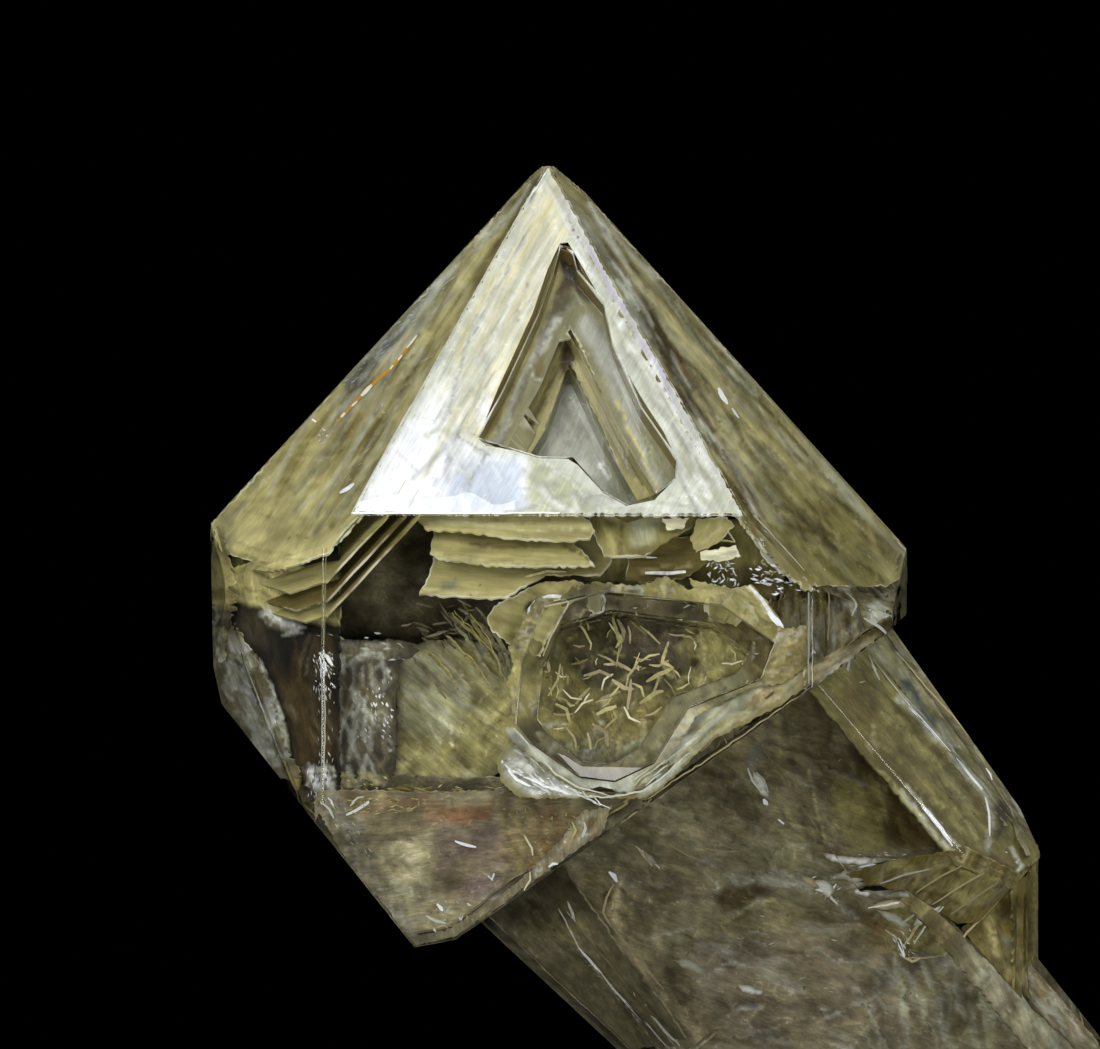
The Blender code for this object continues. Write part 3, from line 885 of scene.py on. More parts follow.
def window_growth():
    """Floors and walls of the stepped pit in the front face, each a level deeper."""
    floors = ((1.3, 0), (2.4, 1), (3.6, 2))
    first, second, third = (below("front_terminal", depth) for depth, _ in floors)

    growth = Growth("window_growth", "frost", seed=12)
    growth.layer("front_terminal", 1.42, "563,240 552,262 520,336 474,436 496,452 520,456 546,394 570,326 "
            "598,384 648,504 672,496 682,470 656,420 622,356 600,290 584,262 572,240", "olive_ash", [
        patch("umber", 5, "554,236 576,236 598,284 602,302 582,297 568,291 550,302 546,270"),
        patch("night", 5, "558,238 574,238 584,262 582,284 564,282 555,268", 0.8),
        line("rust", 3, "584,268 594,284 602,304", 0.6),
        patch("umber", 6, "552,300 570,288 572,300 556,318 548,330", 0.7),
        patch("khaki", 5, "556,250 546,274 520,334 476,434 490,446 520,380 548,312 560,280"),
        patch("bronze", 5, "556,262 549,284 534,324 500,398 482,436 490,442 520,372 548,300", 0.75),
        patch("lead", 4, "559,312 545,340 520,400 500,446 492,444 512,396 536,346 552,316", 0.8),
        line("mist", 5, "556,320 544,346 538,362", 0.8),
        line("bronze", 4, "530,372 514,412 500,448", 0.7),
        patch("bronze", 4, "540,352 548,352 545,374 536,382 530,368", 0.8),
        line("ash", 2, "538,350 531,364 534,378 544,380"),
        patch("ash", 8, "576,322 592,350 640,458 654,492 668,488 650,436 612,352 590,316"),
        patch("olive_ash", 6, "636,414 654,440 668,466 664,488 652,470 640,440"),
        line("butter", 3, "616,400 636,446 656,492"),
        line("cream", 2, "574,330 588,356", 0.9),
        *lenses("552,300 574,290 610,330 672,490 640,480 590,350", 40, 40, 0.15, "sage ash moss lead", 66,
            0.15, (0.3, 0.8), seed=74),
        *lenses("548,290 552,330 500,446 478,436", 40, 44, 0.12, "straw umber moss sage", 114, 0.1,
            (0.3, 0.8), seed=75)], through=first, grain=(113, 8), spacing=3.2, mottle=0.1)
    growth.layer("front_terminal", 2.52, "571,324 556,352 528,412 506,452 532,458 548,420 570,362 604,432 "
            "630,498 650,504 656,494 628,430 600,374 584,344", "khaki", [
        patch("olive", 4, "568,330 548,370 530,412 508,450 518,452 545,396 566,350"),
        patch("umber", 5, "570,326 582,346 572,368 560,378 556,356"),
        patch("umber", 4, "556,370 545,402 528,446 522,452 532,420 548,380", 0.8),
        patch("olive_ash", 4, "590,366 604,390 640,480 628,480 600,420", 0.8),
        line("butter", 4, "598,376 626,434 650,492"),
        line("white", 2, "618,404 640,452 656,492"),
        line("umber", 2, "592,372 616,424 642,490")], through=second, grain=(113, 8), spacing=3.2,
        mottle=0.1)
    growth.layer("front_terminal", 3.75, "569,360 556,384 544,412 524,452 548,460 580,472 606,492 614,506 "
            "644,506 642,494 616,436 590,388", "ash", [
        patch("umber", 6, "568,354 580,372 578,384 566,386 558,378", 0.9),
        patch("olive_ash", 10, "596,400 612,420 646,496 614,506 604,470", 0.8),
        patch("night", 3, "547,402 549,422 532,444 524,452 530,430", 0.8),
        patch("ash", 12, "556,420 584,400 606,440 604,486 570,466 540,456", 0.8),
        *lenses("560,390 584,390 640,494 600,490 540,452", 50, 50, 0.15, "sage mist lead olive_ash", 66,
            0.2, (0.3, 0.7), seed=76),
        line("milk", 3, "579,390 588,410"),
        line("white", 3, "601,464 607,480"),
        line("lead", 9, "592,400 620,452 636,494", 0.7),
        patch("mist", 6, "570,458 590,462 600,476 584,474", 0.8)], through=third, grain=(115, 6),
        spacing=3.2)
    growth.ribbon("front_terminal", 0.5, "478,440 494,449 520,453 548,458 570,464", 5, "ash", taper=0.5)
    growth.ribbon("front_terminal", 0.5, "566,462 588,478 606,496 626,508 656,502 672,484 678,460", 5,
        "mist", taper=0.5)
    growth.ribbon("front_terminal", 1.2, "606,488 612,499 626,505 642,505 652,499 656,490", 3, "snow",
        through=first)
    for (outline, top, bottom), tint in zip(WINDOW_WALLS, ("bronze", "khaki", "olive_ash")):
        growth.wall("front_terminal", outline, top, bottom, tint)
    growth.splinters("front_terminal", 1.3, "556,240 572,240 602,300 560,300", 26, 6, "amber",
        through=first, angle=60, spread=0.1)
    # White splinters: painted glints.
    growth.splinters("front_terminal", 3.5, "566,456 596,460 604,484 576,474", 26, 6, "white",
        through=third, spread=0.1)
    growth.finish()


def left_terminal_growth():
    """Stained skin of the left face of the tip, over three stepped plates."""
    skin = Growth("left_terminal_skin", "growth", seed=13)
    skin.layer("left_terminal", 0.6, "548,160 526,176 496,206 440,256 396,302 334,370 276,432 214,500 "
            "210,522 222,552 262,566 300,572 330,577 347,577 356,572 378,547 390,528 370,514 355,512 "
            "386,454 446,346 506,238 546,170", "khaki", [
        patch("olive", 26, "540,180 500,226 440,290 380,380 330,470 380,450 440,340 500,238", 0.8),
        patch("straw", 22, "232,520 300,490 352,500 372,514 350,560 300,566 240,552", 0.8),
        patch("olive", 14, "290,450 330,446 352,460 330,482 290,486", 0.7),
        patch("bronze", 5, "306,452 316,450 322,462 312,474 304,464", 0.45),
        patch("slate", 7, "470,246 440,272 402,314 368,350 340,384 350,390 384,360 420,322 452,286", 0.9),
        patch("dusk", 3, "394,338 404,332 412,342 402,350", 0.7),
        patch("rust", 3, "368,374 384,378 386,398 364,424 344,444 342,436 362,414 376,396 370,386", 0.9),
        patch("rust", 7, "366,370 386,378 376,400 352,430 346,426 362,396", 0.4),
        # The amber line lies under the broken glint line: a painted glint.
        line("amber", 4, "417,336 392,367 367,389 339,419", 0.7),
        line("straw", 3, "444,338 420,384 394,434 372,464 346,490", 0.8),
        line("cream", 2, "438,338 414,384 388,428", 0.6),
        line("bronze", 3, "428,350 402,400 372,448", 0.5),
        line("olive_ash", 4, "286,452 252,486 228,516", 0.8),
        line("cream", 2, "290,456 258,490 236,512", 0.5),
        patch("olive_ash", 8, "222,512 232,516 232,556 224,548", 0.9),
        line("bronze", 2, "246,556 272,566 325,574 346,576 378,546 394,520", 0.6),
        line("umber", 1.5, "292,534 298,540", 0.8),
        line("umber", 1.5, "302,538 308,540", 0.8),
        patch("lead", 6, "548,172 530,184 506,214 478,240 486,246 516,214 540,186", 0.8),
        *scribble("544,172 504,220 390,340 300,440 320,480 360,500 446,342 506,236", 170, 170, 5,
            "straw bronze khaki olive_ash sage umber olive ash", 123, 0.05, (0.15, 0.7), seed=6),
        *scribble("330,380 470,240 540,176 520,200 400,330 350,400", 70, 60, 4,
            "ash slate mist olive_ash dusk", 132, 0.15, (0.2, 0.8), seed=7),
        *scribble("290,440 340,440 384,490 350,560 240,550 228,516", 90, 70, 6,
            "straw khaki olive butter bronze", 170, 0.2, (0.05, 0.25), seed=8),
        line("bronze", 2, "236,540 262,552 326,560 352,556 376,530", 0.5),
        line("butter", 3, "234,546 262,559 328,568 350,566", 0.5),
        *lenses("300,430 350,420 420,320 470,250 500,220 430,380 360,490 330,480", 60, 40, 0.2,
            "dusk khaki ash straw umber", 128, 0.15, (0.2, 0.7), seed=74)], grain=(126, 7), spacing=2.8,
        mottle=0.2)
    skin.ribbon("left_terminal", 0.5, "354,513 340,527 328,543", 2, "sage")
    skin.finish()

    # Painted glints: a broken bright line along a fracture, sky-blue specks along the silhouette that paint
    # reflected light, and small white flashes.
    fracture_glints = Growth("left_terminal_fracture_glints", "glint", seed=14)
    fracture_glints.ribbon("left_terminal", 0.5, "417,336 392,367 367,389 337,423", 3, "amber")
    for start, end, width in (((417, 335), (407, 348), 2), ((402, 355), (398, 360), 3),
            ((393, 365), (390, 369), 3), ((372, 385), (361, 396), 4), ((357, 401), (352, 406), 3),
            ((345, 413), (341, 417), 4)):
        fracture_glints.ribbon("left_terminal", 0.45, [start, end], width, "pale_cream", taper=0.4, waver=0.4)
    fracture_glints.ribbon("left_terminal", 0.45, "354,483 347,489 340,493", 4, "snow")
    fracture_glints.ribbon("left_terminal", 0.45, "312,419 316,422", 4, "snow")
    fracture_glints.splinters("left_terminal", 0.4, "474,240 440,268 402,312 340,382 350,388 396,346 450,286", 110,
        11, "sky", angle=135, spread=0.15)
    fracture_glints.splinters("left_terminal", 0.4, "540,178 500,216 470,246 478,252 520,208", 60, 8, "ash",
        angle=130, spread=0.15)
    fracture_glints.splinters("left_terminal", 0.4, "316,430 332,424 330,444 320,446", 16, 8, "snow", spread=0.1)
    fracture_glints.splinters("left_terminal", 0.4, "386,400 390,412 378,420 372,410", 12, 6, "white", spread=0.1)
    fracture_glints.splinters("left_terminal", 0.4, "360,500 446,340 438,336 340,490", 24, 16, "cream", angle=118,
        spread=0.1, slim=0.12)
    fracture_glints.finish()

    plates = Growth("left_growth_layers", "growth", seed=15)
    # The olive patch on the first plate and the bronze patch on the third darken them under the plate above,
    # a painted shade; their lower edges stay light.
    plates.plate("left_terminal", 1.7, "258,583 292,594 322,592 330,597 350,594 389,552 411,516 430,490 "
            "380,470 300,490 246,545", "khaki", [
        patch("olive", 12, "240,560 330,578 380,548 400,520 380,500 300,520", 0.8)])
    plates.plate("left_terminal", 2.5, "250,597 300,612 340,612 366,604 397,566 420,520 420,480 300,490 "
        "240,545", "bronze")
    plates.plate("left_terminal", 3.1, "221,594 234,604 267,612 320,626 356,628 400,582 430,530 420,480 "
            "300,490 240,545", "khaki", [
        patch("bronze", 16, "230,570 330,604 366,596 400,550 420,500 300,520", 0.8)])
    plates.finish()


def right_terminal_growth():
    """Streaked skin of the right face of the tip, with a dark brown band beside the front face."""
    skin = Growth("right_terminal_skin", "growth", seed=16)
    skin.layer("right_terminal", 0.6, "549,160 572,172 606,204 660,262 712,322 780,396 850,474 880,508 "
            "910,546 906,572 888,586 850,586 812,586 776,552 742,512 700,440 654,358 606,276 572,214",
        "olive", [
        patch("olive_ash", 10, "556,176 600,214 650,268 640,280 596,232 568,196"),
        patch("khaki", 20, "690,400 760,430 850,520 860,550 800,556 750,500", 0.7),
        patch("umber", 5, "576,210 600,236 630,286 664,350 700,404 730,446 762,506 780,552 772,550 744,506 "
            "704,436 662,362 618,286 586,230"),
        line("dusk", 5, "600,240 632,296 666,356 694,398 716,430"),
        line("dusk", 5, "734,462 756,506 776,548"),
        line("straw", 6, "616,250 646,300 682,360 700,400 728,444 750,478", 0.9),
        line("bronze", 4, "612,232 650,282 700,360", 0.8),
        line("umber", 3, "660,323 680,357 697,380 720,400"),
        line("slate", 8, "650,292 673,322 707,362", 0.7),
        line("khaki", 5, "664,300 710,352 760,410", 0.8),
        line("bronze", 3, "690,330 740,388 800,452", 0.7),
        line("umber", 3, "767,423 787,450 823,487 860,515", 0.9),
        # The milk patch paints a bright oval glint, and the umber line at its left the dark shade beside it.
        line("umber", 4, "708,392 714,410 724,424", 0.6),
        patch("milk", 9, "714,384 724,388 738,412 732,418 720,402", 0.9),
        line("bronze", 3, "730,420 756,456 790,494", 0.8),
        line("straw", 3, "744,430 776,470 800,500", 0.6),
        # The umber patch paints the shadow under the bright straw patch above it.
        patch("umber", 5, "772,492 812,532 814,552 870,570 888,570 862,556 830,552 824,534 792,504"),
        patch("straw", 8, "772,486 800,500 822,530 806,522", 0.8),
        patch("straw", 8, "740,452 760,490 784,540 800,560 780,556 756,510", 0.6),
        patch("sage", 10, "826,536 866,540 872,554 840,556", 0.8),
        patch("bronze", 8, "870,520 900,550 886,556", 0.6),
        line("olive_ash", 4, "600,212 700,324 838,474 896,546", 0.8),
        *scribble("552,170 600,206 700,318 850,484 896,546 800,560 742,504 654,350 590,240", 230, 190, 5,
            "straw bronze khaki olive_ash sage umber dusk ash", 49, 0.05, (0.15, 0.75), seed=9),
        *scribble("600,220 640,280 760,500 780,552 752,510 640,330", 50, 120, 4, "dusk umber sand mist", 60,
            0.04, (0.3, 0.9), seed=10),
        patch("moss", 30, "770,470 850,510 896,556 880,584 810,580 780,552", 0.75),
        patch("umber", 12, "800,500 838,520 830,548 806,540", 0.5),
        *scribble("780,480 896,546 890,580 800,576", 60, 60, 5, "umber khaki olive dusk bronze olive_ash",
            42, 0.25, (0.2, 0.7), seed=11),
        *lenses("600,220 700,330 850,490 870,560 800,560 700,400", 90, 60, 0.12,
            "dusk straw umber ash olive_ash moss", 49, 0.08, (0.2, 0.7), seed=75)], grain=(50, 9),
        spacing=2.8, mottle=0.2)
    skin.finish()

    # Painted glints: the bright oval flash and pale specks on the face.
    glints = Growth("right_terminal_fracture_glints", "glint", seed=17)
    glints.ribbon("right_terminal", 0.45, "718,388 722,396 728,404", 5, "white", taper=0.2)
    glints.ribbon("right_terminal", 0.45, "732,408 739,418", 2.5, "milk")
    glints.splinters("right_terminal", 0.4, "560,178 600,214 660,284 650,290 590,226", 90, 9, "ash",
        angle=50, spread=0.15)
    glints.splinters("right_terminal", 0.4, "680,410 700,410 760,520 780,560 768,560 720,480", 60, 7,
        "milk", angle=60, spread=0.15)
    glints.splinters("right_terminal", 0.4, "700,340 780,410 880,530 860,540 760,450", 24, 18, "khaki",
        angle=50, spread=0.15, slim=0.12)
    glints.splinters("right_terminal", 0.4, "640,290 700,360 750,440 800,520 780,520 700,420", 40, 14,
        "straw", angle=56, spread=0.15, slim=0.15)
    glints.finish()


def front_growth_layers():
    """Khaki slabs under the lower edge of the front face, with painted lit rims and painted shadows under
    each other, and the fragmented layers to their right.
    """
    slabs = Growth("front_growth_layers", "growth", seed=21)
    # In the three slabs the cream or straw line near the lower edge paints a lit rim, and the bronze band
    # under the slab above paints its shadow.
    slabs.layer("front_terminal", 1.3, "418,508 418,520 428,530 468,532 512,538 560,541 590,539 595,531 "
            "588,520 574,508", "straw", [
        patch("khaki", 5, "420,526 500,531 592,530 588,540 500,538 430,530"),
        line("bronze", 2, "470,518 512,521 550,520", 0.6),
        line("cream", 2, "430,524 500,528 586,530", 0.6)], through="front_prism", grain=(3, 9))
    slabs.layer("front_terminal", 2.3, "432,508 434,536 430,553 440,559 470,563 512,568 556,571 600,574 "
            "588,556 570,540 560,508", "khaki", [
        patch("bronze", 9, "434,534 500,542 570,546 566,536 434,528", 0.8),
        line("umber", 3, "470,541 500,546 524,546", 0.6),
        line("straw", 4, "436,556 500,563 590,571"),
        line("bronze", 2, "560,544 584,556 604,572")], through="front_prism", grain=(4, 9))
    slabs.layer("front_terminal", 3.6, "436,530 433,562 426,580 419,594 460,597 506,600 518,590 546,574 "
            "600,575 612,560 600,530", "khaki", [
        patch("bronze", 9, "434,558 500,566 560,572 600,574 600,560 434,548", 0.9),
        line("straw", 4, "424,590 460,594 504,597"),
        patch("slate", 5, "440,580 462,578 458,590 442,590", 0.5)], through="front_prism", grain=(4, 9))
    slabs.layer("front_terminal", 1.9, "588,508 590,526 604,556 612,578 622,572 640,560 660,545 690,528 "
            "706,508", "olive", [
        line("bronze", 4, "624,520 620,545 618,574"),
        patch("sage", 5, "633,520 662,522 656,542 634,546", 0.6),
        line("khaki", 6, "600,520 612,548 616,572"),
        patch("bronze", 8, "630,548 688,540 680,570 630,572", 0.8)], through="front_prism", grain=(80, 5))
    slabs.layer("front_prism", 4.4, "580,519 748,519 790,566 776,600 700,596 640,606 600,600 584,580",
        "olive", [
        patch("bronze", 9, "630,546 690,541 720,574 690,582 640,586", 0.8),
        patch("umber", 8, "716,566 770,566 784,590 730,590", 0.8),
        line("khaki", 5, "600,522 606,560 612,584", 0.8),
        line("bronze", 3, "624,521 622,550 620,578")], grain=(85, 4), fade=10, ground="deep", ripple=0.3,
        mottle=0.3)
    slabs.layer("front_prism", 2.6, "630,542 700,536 716,556 690,576 660,584 626,580", "bronze", [
        line("umber", 4, "634,560 690,552", 0.6),
        line("khaki", 4, "640,572 690,566", 0.8)], grain=(5, 7))
    slabs.layer("front_prism", 1.2, "662,518 689,518 683,529 667,530", "cream", spacing=3, grain=(10, 4))
    slabs.layer("front_prism", 1.5, "697,519 727,517 735,526 716,544 696,553 690,540", "khaki", [
        line("straw", 3, "700,546 716,530 724,522")], spacing=3, grain=(130, 6))
    slabs.layer("front_prism", 1.1, "700,552 736,545 741,556 722,561 701,560", "cream", [
        line("sage", 3, "704,557 736,552")], spacing=3, grain=(170, 5))
    slabs.layer("front_prism", 2.0, "740,520 748,534 766,560 790,580 800,572 780,548 752,516", "ash",
        spacing=3, grain=(55, 6))
    slabs.finish()


def prism_depths():
    """Smoky depths of the front prism, with the golden veil and the glittering window beside it."""
    depths = Growth("prism_depths", "veil", seed=22)
    depths.layer("front_prism", 9, "328,548 360,518 740,518 809,590 809,690 650,798 328,798", "deep", [
        patch("dusk", 12, "400,540 432,530 430,594 396,600"),
        patch("dusk", 16, "330,652 398,655 392,762 335,780", 0.7),
        patch("umber", 14, "484,628 540,655 552,664 500,660", 0.6),
        patch("haze", 20, "400,600 440,596 470,620 440,650 400,640", 0.4),
        *scribble("330,560 440,560 540,600 560,660 330,660", 120, 60, 10, "deep haze dusk smoke_light", 20,
            0.3, (0.1, 0.4), seed=31)], spacing=5, ripple=0.5, mottle=0.35, rim=False, grain=(20, 1.5))
    depths.layer("front_prism", 4.7, "538,668 548,640 566,604 600,584 680,586 740,596 800,600 806,676 "
            "760,690 700,722 660,770 620,796 570,790 530,756 516,726", "olive", [
        patch("dusk", 14, "566,606 640,598 690,606 690,650 672,690 600,690 566,664 556,640", 0.85),
        patch("plum", 12, "620,620 684,624 680,660 620,650", 0.35),
        patch("umber", 10, "548,672 600,680 570,700 548,700", 0.5),
        patch("bronze", 14, "560,700 640,690 680,700 650,740 590,760 556,730", 0.5),
        patch("slate", 14, "560,740 620,730 650,740 620,786 580,780", 0.3),
        patch("khaki", 8, "690,610 724,610 724,690 690,700", 0.35),
        patch("umber", 3, "724,672 732,676 728,690 721,686"),
        patch("umber", 3, "696,612 703,614 701,632 694,630"),
        patch("umber", 4, "744,672 752,678 746,688 739,682"),
        patch("umber", 3, "682,690 690,692 686,700 680,698"),
        patch("umber", 3, "690,654 698,656 694,664 688,662"),
        patch("rust", 8, "752,640 780,646 768,668 748,660", 0.5),
        line("straw", 2, "698,618 704,640 703,664 698,694", 0.9),
        line("fawn", 3, "742,646 752,662 756,676", 0.7),
        *lenses("545,600 690,590 700,690 640,770 560,770 535,700", 170, 26, 0.35,
            "olive fawn khaki haze night dusk straw", -30, 1.2, (0.3, 0.9), seed=48),
        *lenses("548,700 640,690 660,740 600,790 560,770", 50, 34, 0.3, "sage khaki ash umber", -35, 0.5,
            (0.3, 0.8), seed=49),
        *lenses("690,596 790,600 806,680 760,690 696,704", 120, 24, 0.35,
            "khaki straw fawn umber night bronze", -50, 0.8, (0.3, 1), seed=50)], spacing=3, ripple=0.2,
        fade=7, ground="deep", mottle=0.35, grain=(60, 2))
    pane = "327,634 352,640 400,640 420,650 400,664 397,700 396,764 386,788 327,797"
    depths.layer("front_prism", 2.6, pane, "dusk", [
        patch("haze", 10, "328,632 400,636 410,654 330,656", 0.7),
        patch("dusk", 10, "334,664 350,662 346,730 334,740", 0.8),
        patch("dusk", 8, "350,664 394,664 392,684 352,688", 0.5),
        patch("deep", 12, "350,690 392,680 392,740 352,760", 0.8),
        patch("olive_ash", 8, "364,700 392,690 392,724 368,736", 0.6),
        patch("dusk", 10, "340,756 392,756 384,784 340,786", 0.5),
        *scribble("332,660 396,660 394,780 332,780", 110, 30, 4, "ash haze dusk night mist smoke_light", 80,
            0.35, (0.15, 0.6), seed=32),
        *lenses("328,634 400,640 412,656 330,662", 30, 40, 0.2, "ash haze mist", 14, 0.3, (0.2, 0.6),
            seed=33),
        *lenses("350,680 394,672 394,750 352,764", 44, 20, 0.35, "mist ash milk dusk", 80, 0.5, (0.2, 0.8),
            seed=34),
        *scribble("330,776 396,776 392,796 330,796", 40, 24, 3, "straw fawn khaki umber", 8, 0.4,
            (0.2, 0.7), seed=35)], spacing=2.6, ripple=0.2, fade=5, ground="dusk", mottle=0.25,
        grain=(82, 3))
    depths.flakes("front_prism", 2, "396,786 640,786 640,798 330,798 330,788", 70, 22,
        "straw fawn clay rust", "olive", angle=2, wander=0.2, strength=(0.3, 0.8), slim=0.3)
    depths.finish()

    veil = Growth("golden_veil", "veil", seed=23)
    veil.layer("front_prism", 5.2, "397,650 430,640 470,640 500,650 537,664 530,684 516,712 516,726 "
            "530,748 524,766 500,770 470,796 440,797 392,797 386,786 396,764 397,700", "olive", [
        patch("sage", 22, "398,655 440,650 474,690 446,736 400,724", 0.5),
        patch("khaki", 12, "398,740 440,750 480,784 440,797 390,792", 0.75),
        line("khaki", 17, "526,668 504,694 476,728", 0.85),
        line("straw", 5, "532,668 512,692 488,722", 0.7),
        line("straw", 2, "470,716 480,700 492,684", 0.6),
        patch("khaki", 10, "470,728 500,722 514,730 526,750 500,766 478,762", 0.7),
        line("cream", 2, "398,660 398,700 396,764", 0.9),
        line("straw", 3, "392,786 404,766 422,744", 0.9),
        line("olive", 3, "386,786 400,776 420,762", 0.6),
        patch("umber", 5, "469,690 476,694 476,706 468,706", 0.6),
        line("umber", 6, "455,750 467,767", 0.8),
        patch("umber", 4, "478,732 486,734 482,742", 0.7),
        patch("umber", 4, "482,716 488,718 484,726", 0.7),
        patch("umber", 5, "520,722 532,725 526,732", 0.9),
        line("cream", 2, "430,720 436,730 440,740", 0.9),
        line("cream", 2, "440,718 450,732 452,744", 0.9),
        *scribble("398,640 470,630 540,664 512,700 470,740 400,730", 170, 40, 4, "sage fawn ash khaki moss",
            38, 0.25, (0.1, 0.5), seed=51),
        *lenses("398,640 470,630 540,664 512,700 470,740 400,730", 60, 40, 0.2, "sage ash khaki moss", 38,
            0.3, (0.2, 0.6), seed=52),
        *lenses("392,730 470,730 530,750 480,796 390,794", 80, 34, 0.3, "khaki straw bronze sage", -40, 0.9,
            (0.2, 0.6), seed=53),
        *lenses("470,740 486,700 520,664 540,668 516,724 500,760", 40, 34, 0.25, "straw khaki butter moss",
            -55, 0.2, (0.2, 0.7), seed=54)], grain=(40, 5), spacing=2.8, ripple=0.35, mottle=0.3, fade=9,
        ground="deep")
    fingers = ("452,612 472,632 496,660 504,690", "460,608 484,628 500,650 508,680",
        "476,608 490,626 504,648 512,676", "446,636 466,656 488,684", "434,644 456,664 474,690",
        "456,624 474,648 490,674", "468,616 486,640 498,668", "492,644 514,656 536,664",
        "480,640 496,656 510,668", "424,650 444,668 460,690", "410,656 430,676 446,700")
    for number, finger in enumerate(fingers):
        veil.ribbon("front_prism", 4.4, finger, 4, ("olive", "haze", "olive_ash")[number % 3], taper=0.1,
            waver=3)
        if number % 3 == 0:
            veil.ribbon("front_prism", 4.2, [(x + 2, y - 1) for x, y in pairs(finger)], 1.2, "khaki",
                taper=0.2, waver=3)
    veil.flakes("front_prism", 4.8, "400,600 460,596 520,640 470,650 400,655", 70, 30,
        "haze fawn smoke_light", "deep", angle=30, wander=0.5, strength=(0.2, 0.8), slim=0.2)
    veil.finish()

    sparks = Growth("prism_glints", "glint", seed=24)
    sparks.splinters("front_prism", 2.2, "352,684 394,676 394,740 356,750", 26, 8, "mist", angle=75,
        spread=0.3, slim=0.4, tilt=0.6)
    for x, y in ((380, 693), (386, 726), (384, 701), (372, 706), (390, 714)):
        sparks.splinters("front_prism", 2.0, [(x - 4, y - 5), (x + 4, y - 5), (x + 4, y + 5),
            (x - 4, y + 5)], 4, 6, "white", angle=70, spread=0.3, slim=0.6)
    sparks.ribbon("front_prism", 0.6, "322,652 327,657 333,666", 4, "milk")
    sparks.ribbon("front_prism", 0.6, "321,656 325,664 324,676", 3, "snow")
    sparks.ribbon("front_prism", 0.5, "326,548 325,600 324,650", 1.0, "olive_ash", taper=0.7)
    sparks.ribbon("front_prism", 0.5, "324,650 325,720 324,790", 1.2, "ash", taper=0.5)
    for region, count, length, tint, angle in (
            ("318,646 342,652 338,690 322,690", 34, 8, "snow", 60),
            ("326,650 334,650 334,796 326,796", 34, 8, "ash", 85),
            ("330,634 400,632 412,660 398,664 342,644", 12, 12, "ash", 14),
            ("330,770 396,776 396,796 330,797", 20, 7, "straw", 20),
            ("556,640 604,640 606,690 562,690", 46, 8, "mist", None),
            ("558,668 578,668 576,686 560,684", 14, 8, "white", None),
            ("580,644 620,644 640,680 590,690", 34, 11, "straw", -20),
            ("550,700 620,690 640,740 580,760 552,740", 80, 9, "sage", None),
            ("704,562 732,562 742,588 712,588", 50, 8, "milk", None),
            ("742,572 770,560 812,588 770,596", 60, 9, "snow", 20),
            ("752,560 782,556 790,576 760,580", 34, 8, "straw", None),
            ("730,640 806,625 808,680 750,690", 80, 8, "straw", None),
            ("772,646 806,646 804,676 778,676", 26, 8, "snow", 10),
            ("600,580 700,584 640,640 600,636", 40, 9, "fawn", None),
            ("762,592 808,594 806,622 766,620", 40, 8, "bronze", None),
            ("400,786 540,786 540,797 400,797", 30, 8, "sand", 0)):
        sparks.splinters("front_prism", 1.2, region, count, length, tint, angle=angle, slim=0.35, tilt=0.6)
    sparks.finish()


